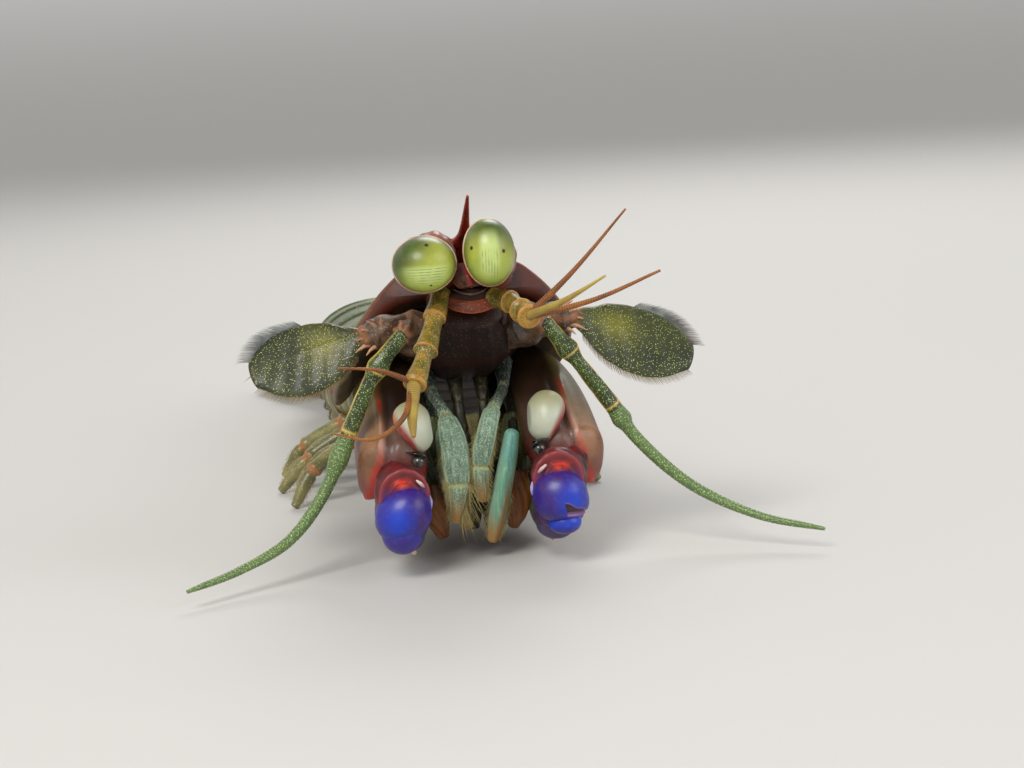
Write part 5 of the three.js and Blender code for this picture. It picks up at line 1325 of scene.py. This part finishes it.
tip_mark = lambda t, a: bump_at(t, 1, 0.3)
rib = lambda t, a: 0.09 * bump_at(np.cos(a), 0, 0.1) + 0.04 * bump_at(np.abs(np.cos(a)), 1, 0.02)
for word, s in SIDES:
    place = lambda x, y, z: np.array([s * x, TELSON_FRONT + y, z])
    outer_joint = [place(8, 2, 3.1), place(9.2, 4.6, 2.4), place(10, 7, 1.6)]
    pieces = [limb([place(5.9, -0.8, 3.9), place(7.3, 2.4, 3.1)], [3.2, 3.2, 2.4], [1.8, 1.6, 1.2], rows=50,
                   sides=40),
              limb([place(6.3, 1.6, 2.5), place(6.15, 4.8, 1.7), place(5.9, 7.6, 0.6)], [1.2, 0.85, 0.2], rows=40,
                   sides=24, edge=tip_mark),
              limb([place(7, 1.8, 2.6), place(7.15, 4, 1.8), place(7.2, 6, 0.9)], [1, 0.7, 0.2], rows=40, sides=24,
                   edge=tip_mark),
              limb(outer_joint, [1.6, 2.6, 2.3], [1, 0.9], rows=50, sides=40,
                   relief=lambda t, a: 0.06 * bump_at(np.cos(a), 0, 0.15))]
    for n in range(9):
        u = 0.12 + 0.1 * n
        root = place(8.8 + 2 * u, 2.2 + 4.6 * u, 3 - 1.3 * u)
        reach = 0.9 + 0.9 * u
        tip = root + [s * reach * 0.75, reach, -0.2]
        pieces.append(limb([root, (root + tip) / 2 + [s * 0.08, 0, 0], tip], [0.5, 0.4, 0.1], rows=16, sides=12,
                           edge=tip_mark))
    fringes = []
    for k, (path, wide) in enumerate((
            ([outer_joint[2], place(10.5, 9.2, 1.25), place(10.9, 11.4, 0.8)], [1.6, 3.0, 3.5, 3.1, 1.8]),
            ([place(7.5, 2.6, 2.5), place(7.9, 6.2, 1.6), place(8, 10.4, 0.8)], [1.3, 2.2, 2.8, 2.7, 1.6]))):
        rings, t, angle, row = limb_rings(path, wide, 0.7, rows=80, sides=56, dome=(0.5, 1), relief=rib)
        marks = {"along": t[:, None], "edge": 0.8 * bump_at(np.abs(np.cos(angle)), 1, 0.012)[None, :]}
        pieces.append(sheet_of_rings(rings, marks))
        fringes += both_edges(row, t, 0.2, 0.999, 150, (0.65, 0.85), 0.06, skin=k, skins=2)
    shell_piece(f"tail_fan_{word}", pieces, fan_paint, "uropod", f"uropod_{word}")
    hair_piece(f"tail_fan_hair_{word}", fringes, brown_hair, "uropod")

# Walking legs
# Three slender pairs under the free thoracic rings, each with a short second branch and hairs near the foot. The
# feet stand on the floor.

LEGS = [(25.4, (12.2, 21.6)), (29, (13, 28.2)), (32.6, (12.4, 34.6))]
leg_paint = shell_finish("walking_leg_shell", (142, 136, 84), (100, 98, 56), (164, 108, 56), (196, 190, 140),
                         rough=0.4, coat=0.15, flesh=0.4)
joints = lambda t, a: 0.1 * (bump_at(t, 0.3, 0.02) + bump_at(t, 0.64, 0.02)) \
    - 0.1 * (bump_at(t, 0.34, 0.015) + bump_at(t, 0.68, 0.015))
for i, (y, foot) in enumerate(LEGS):
    for word, s in SIDES:
        knee = np.array([s * 7.4, y + (foot[1] - y) * 0.35, 4.5])
        ankle = np.array([s * 10.6, y + (foot[1] - y) * 0.75, 2.7])
        rings, t, _, row = limb_rings([[s * 3.6, y, 6.3], knee, ankle, [s * foot[0], foot[1], 0.25]],
                                      [1.6, 1.5, 1.2, 1.1, 0.7], rows=100, sides=28, dome=(0.5, 0.4), relief=joints)
        rings[..., 2] = np.maximum(rings[..., 2], 0.0)
        joint_mark = 0.9 * (bump_at(t, 0.33, 0.03) + bump_at(t, 0.67, 0.03))
        leg = [sheet_of_rings(rings, {"edge": joint_mark[:, None]}),
               limb([knee, [s * 9.6, knee[1] + 1.7, 3.4], [s * 11.2, knee[1] + 2.4, 1.9]], [0.9, 0.8, 0.4], rows=50,
                    sides=20, edge=lambda t, a: bump_at(t, 0, 0.1))]
        shell_piece(f"walking_leg_{i + 1}_{word}_shell", leg, leg_paint, "walking_leg", f"walking_leg_{i + 1}_{word}")
        tufts = both_edges(row, t, 0.7, 0.95, 30, (0.4, 0.6), 0.04, out=(0.6, 0.6), ahead=(0.9, 1.1), wild=0.1)
        hair_piece(f"walking_leg_hair_{i + 1}_{word}", tufts, straw_hair, "walking_leg")

# Swimming legs
# Five pairs under the abdomen: a broad stalk, an outer and an inner leaf with hair fringes, and a tuft of gill
# threads at the root of the outer leaf.

leaf_paint = shell_finish("swimming_leg_shell", (176, 172, 126), (132, 128, 84), (204, 140, 84), (222, 216, 176),
                          speck_scale=2300.0, rough=0.36, coat=0.2, flesh=0.5)
gill_paint = shell_finish("gill_threads", (206, 160, 136), (170, 110, 90), (220, 180, 150), (232, 204, 184),
                          speck_scale=2300.0, rough=0.4, coat=0.2, flesh=0.5)
UNDER_BACK = 6.6
for i in range(5):
    for word, s in SIDES:
        y = ABDOMEN_FRONT + (i + 0.3) * ABDOMEN_SOMITE
        top = float(back_height(y)) - UNDER_BACK * ABDOMEN_DEPTHS[i]
        place = lambda x, back_by, share: np.array([s * x, y + back_by, top * share])
        forms = [limb([place(3.6, 0, 1.05), place(3.9, 0.9, 0.62)], [3.2, 2.8], [1.3, 1], rows=30, sides=40)]
        fringes = []
        for k, (path, wide) in enumerate((
                ([place(4.9, 0.7, 0.7), place(5.6, 2.2, 0.42), place(5.8, 4.2, 0.2)], [1.4, 2.6, 3.2, 3, 1.4]),
                ([place(3, 0.7, 0.7), place(2.4, 2, 0.4), place(2.2, 3.7, 0.18)], [1.3, 2.2, 2.6, 2.5, 1.1]))):
            rings, t, angle, row = limb_rings(path, wide, 0.55, rows=50, sides=48, dome=(0.5, 0.9),
                                              relief=lambda t, a: 0.06 * bump_at(np.cos(a), 0, 0.12))
            forms.append(sheet_of_rings(rings, {"edge": 0.7 * bump_at(np.abs(np.cos(angle)), 1, 0.012)[None, :]}))
            fringes += both_edges(row, t, 0.25, 0.99, 80, (0.34, 0.46), 0.045, skin=k, skins=2)
        shell_piece(f"swimming_leg_{i + 1}_{word}", forms, leaf_paint, "pleopod", f"pleopod_{i + 1}_{word}")
        hair_piece(f"swimming_leg_hair_{i + 1}_{word}", fringes, brown_hair, "pleopod")
        threads = []
        for n in range(9):
            u = n / 8
            root = place(3 + 1.6 * u, 0.9 + 0.12 * (n % 3), 0.68 + 0.05 * (n % 2))
            tip = place(2.8 + 1.9 * u, 2.4 + 0.35 * (n % 3), 0.74 - 0.16 * (n % 2))
            threads.append(limb([root, (root + tip) / 2 + [0, 0, 0.15], tip], [0.32, 0.3, 0.12], rows=18, sides=10,
                                relief=lambda t, a: 0.02 * np.sin(60 * t)))
        shell_piece(f"gill_tuft_{i + 1}_{word}", threads, gill_paint, "pleopod")
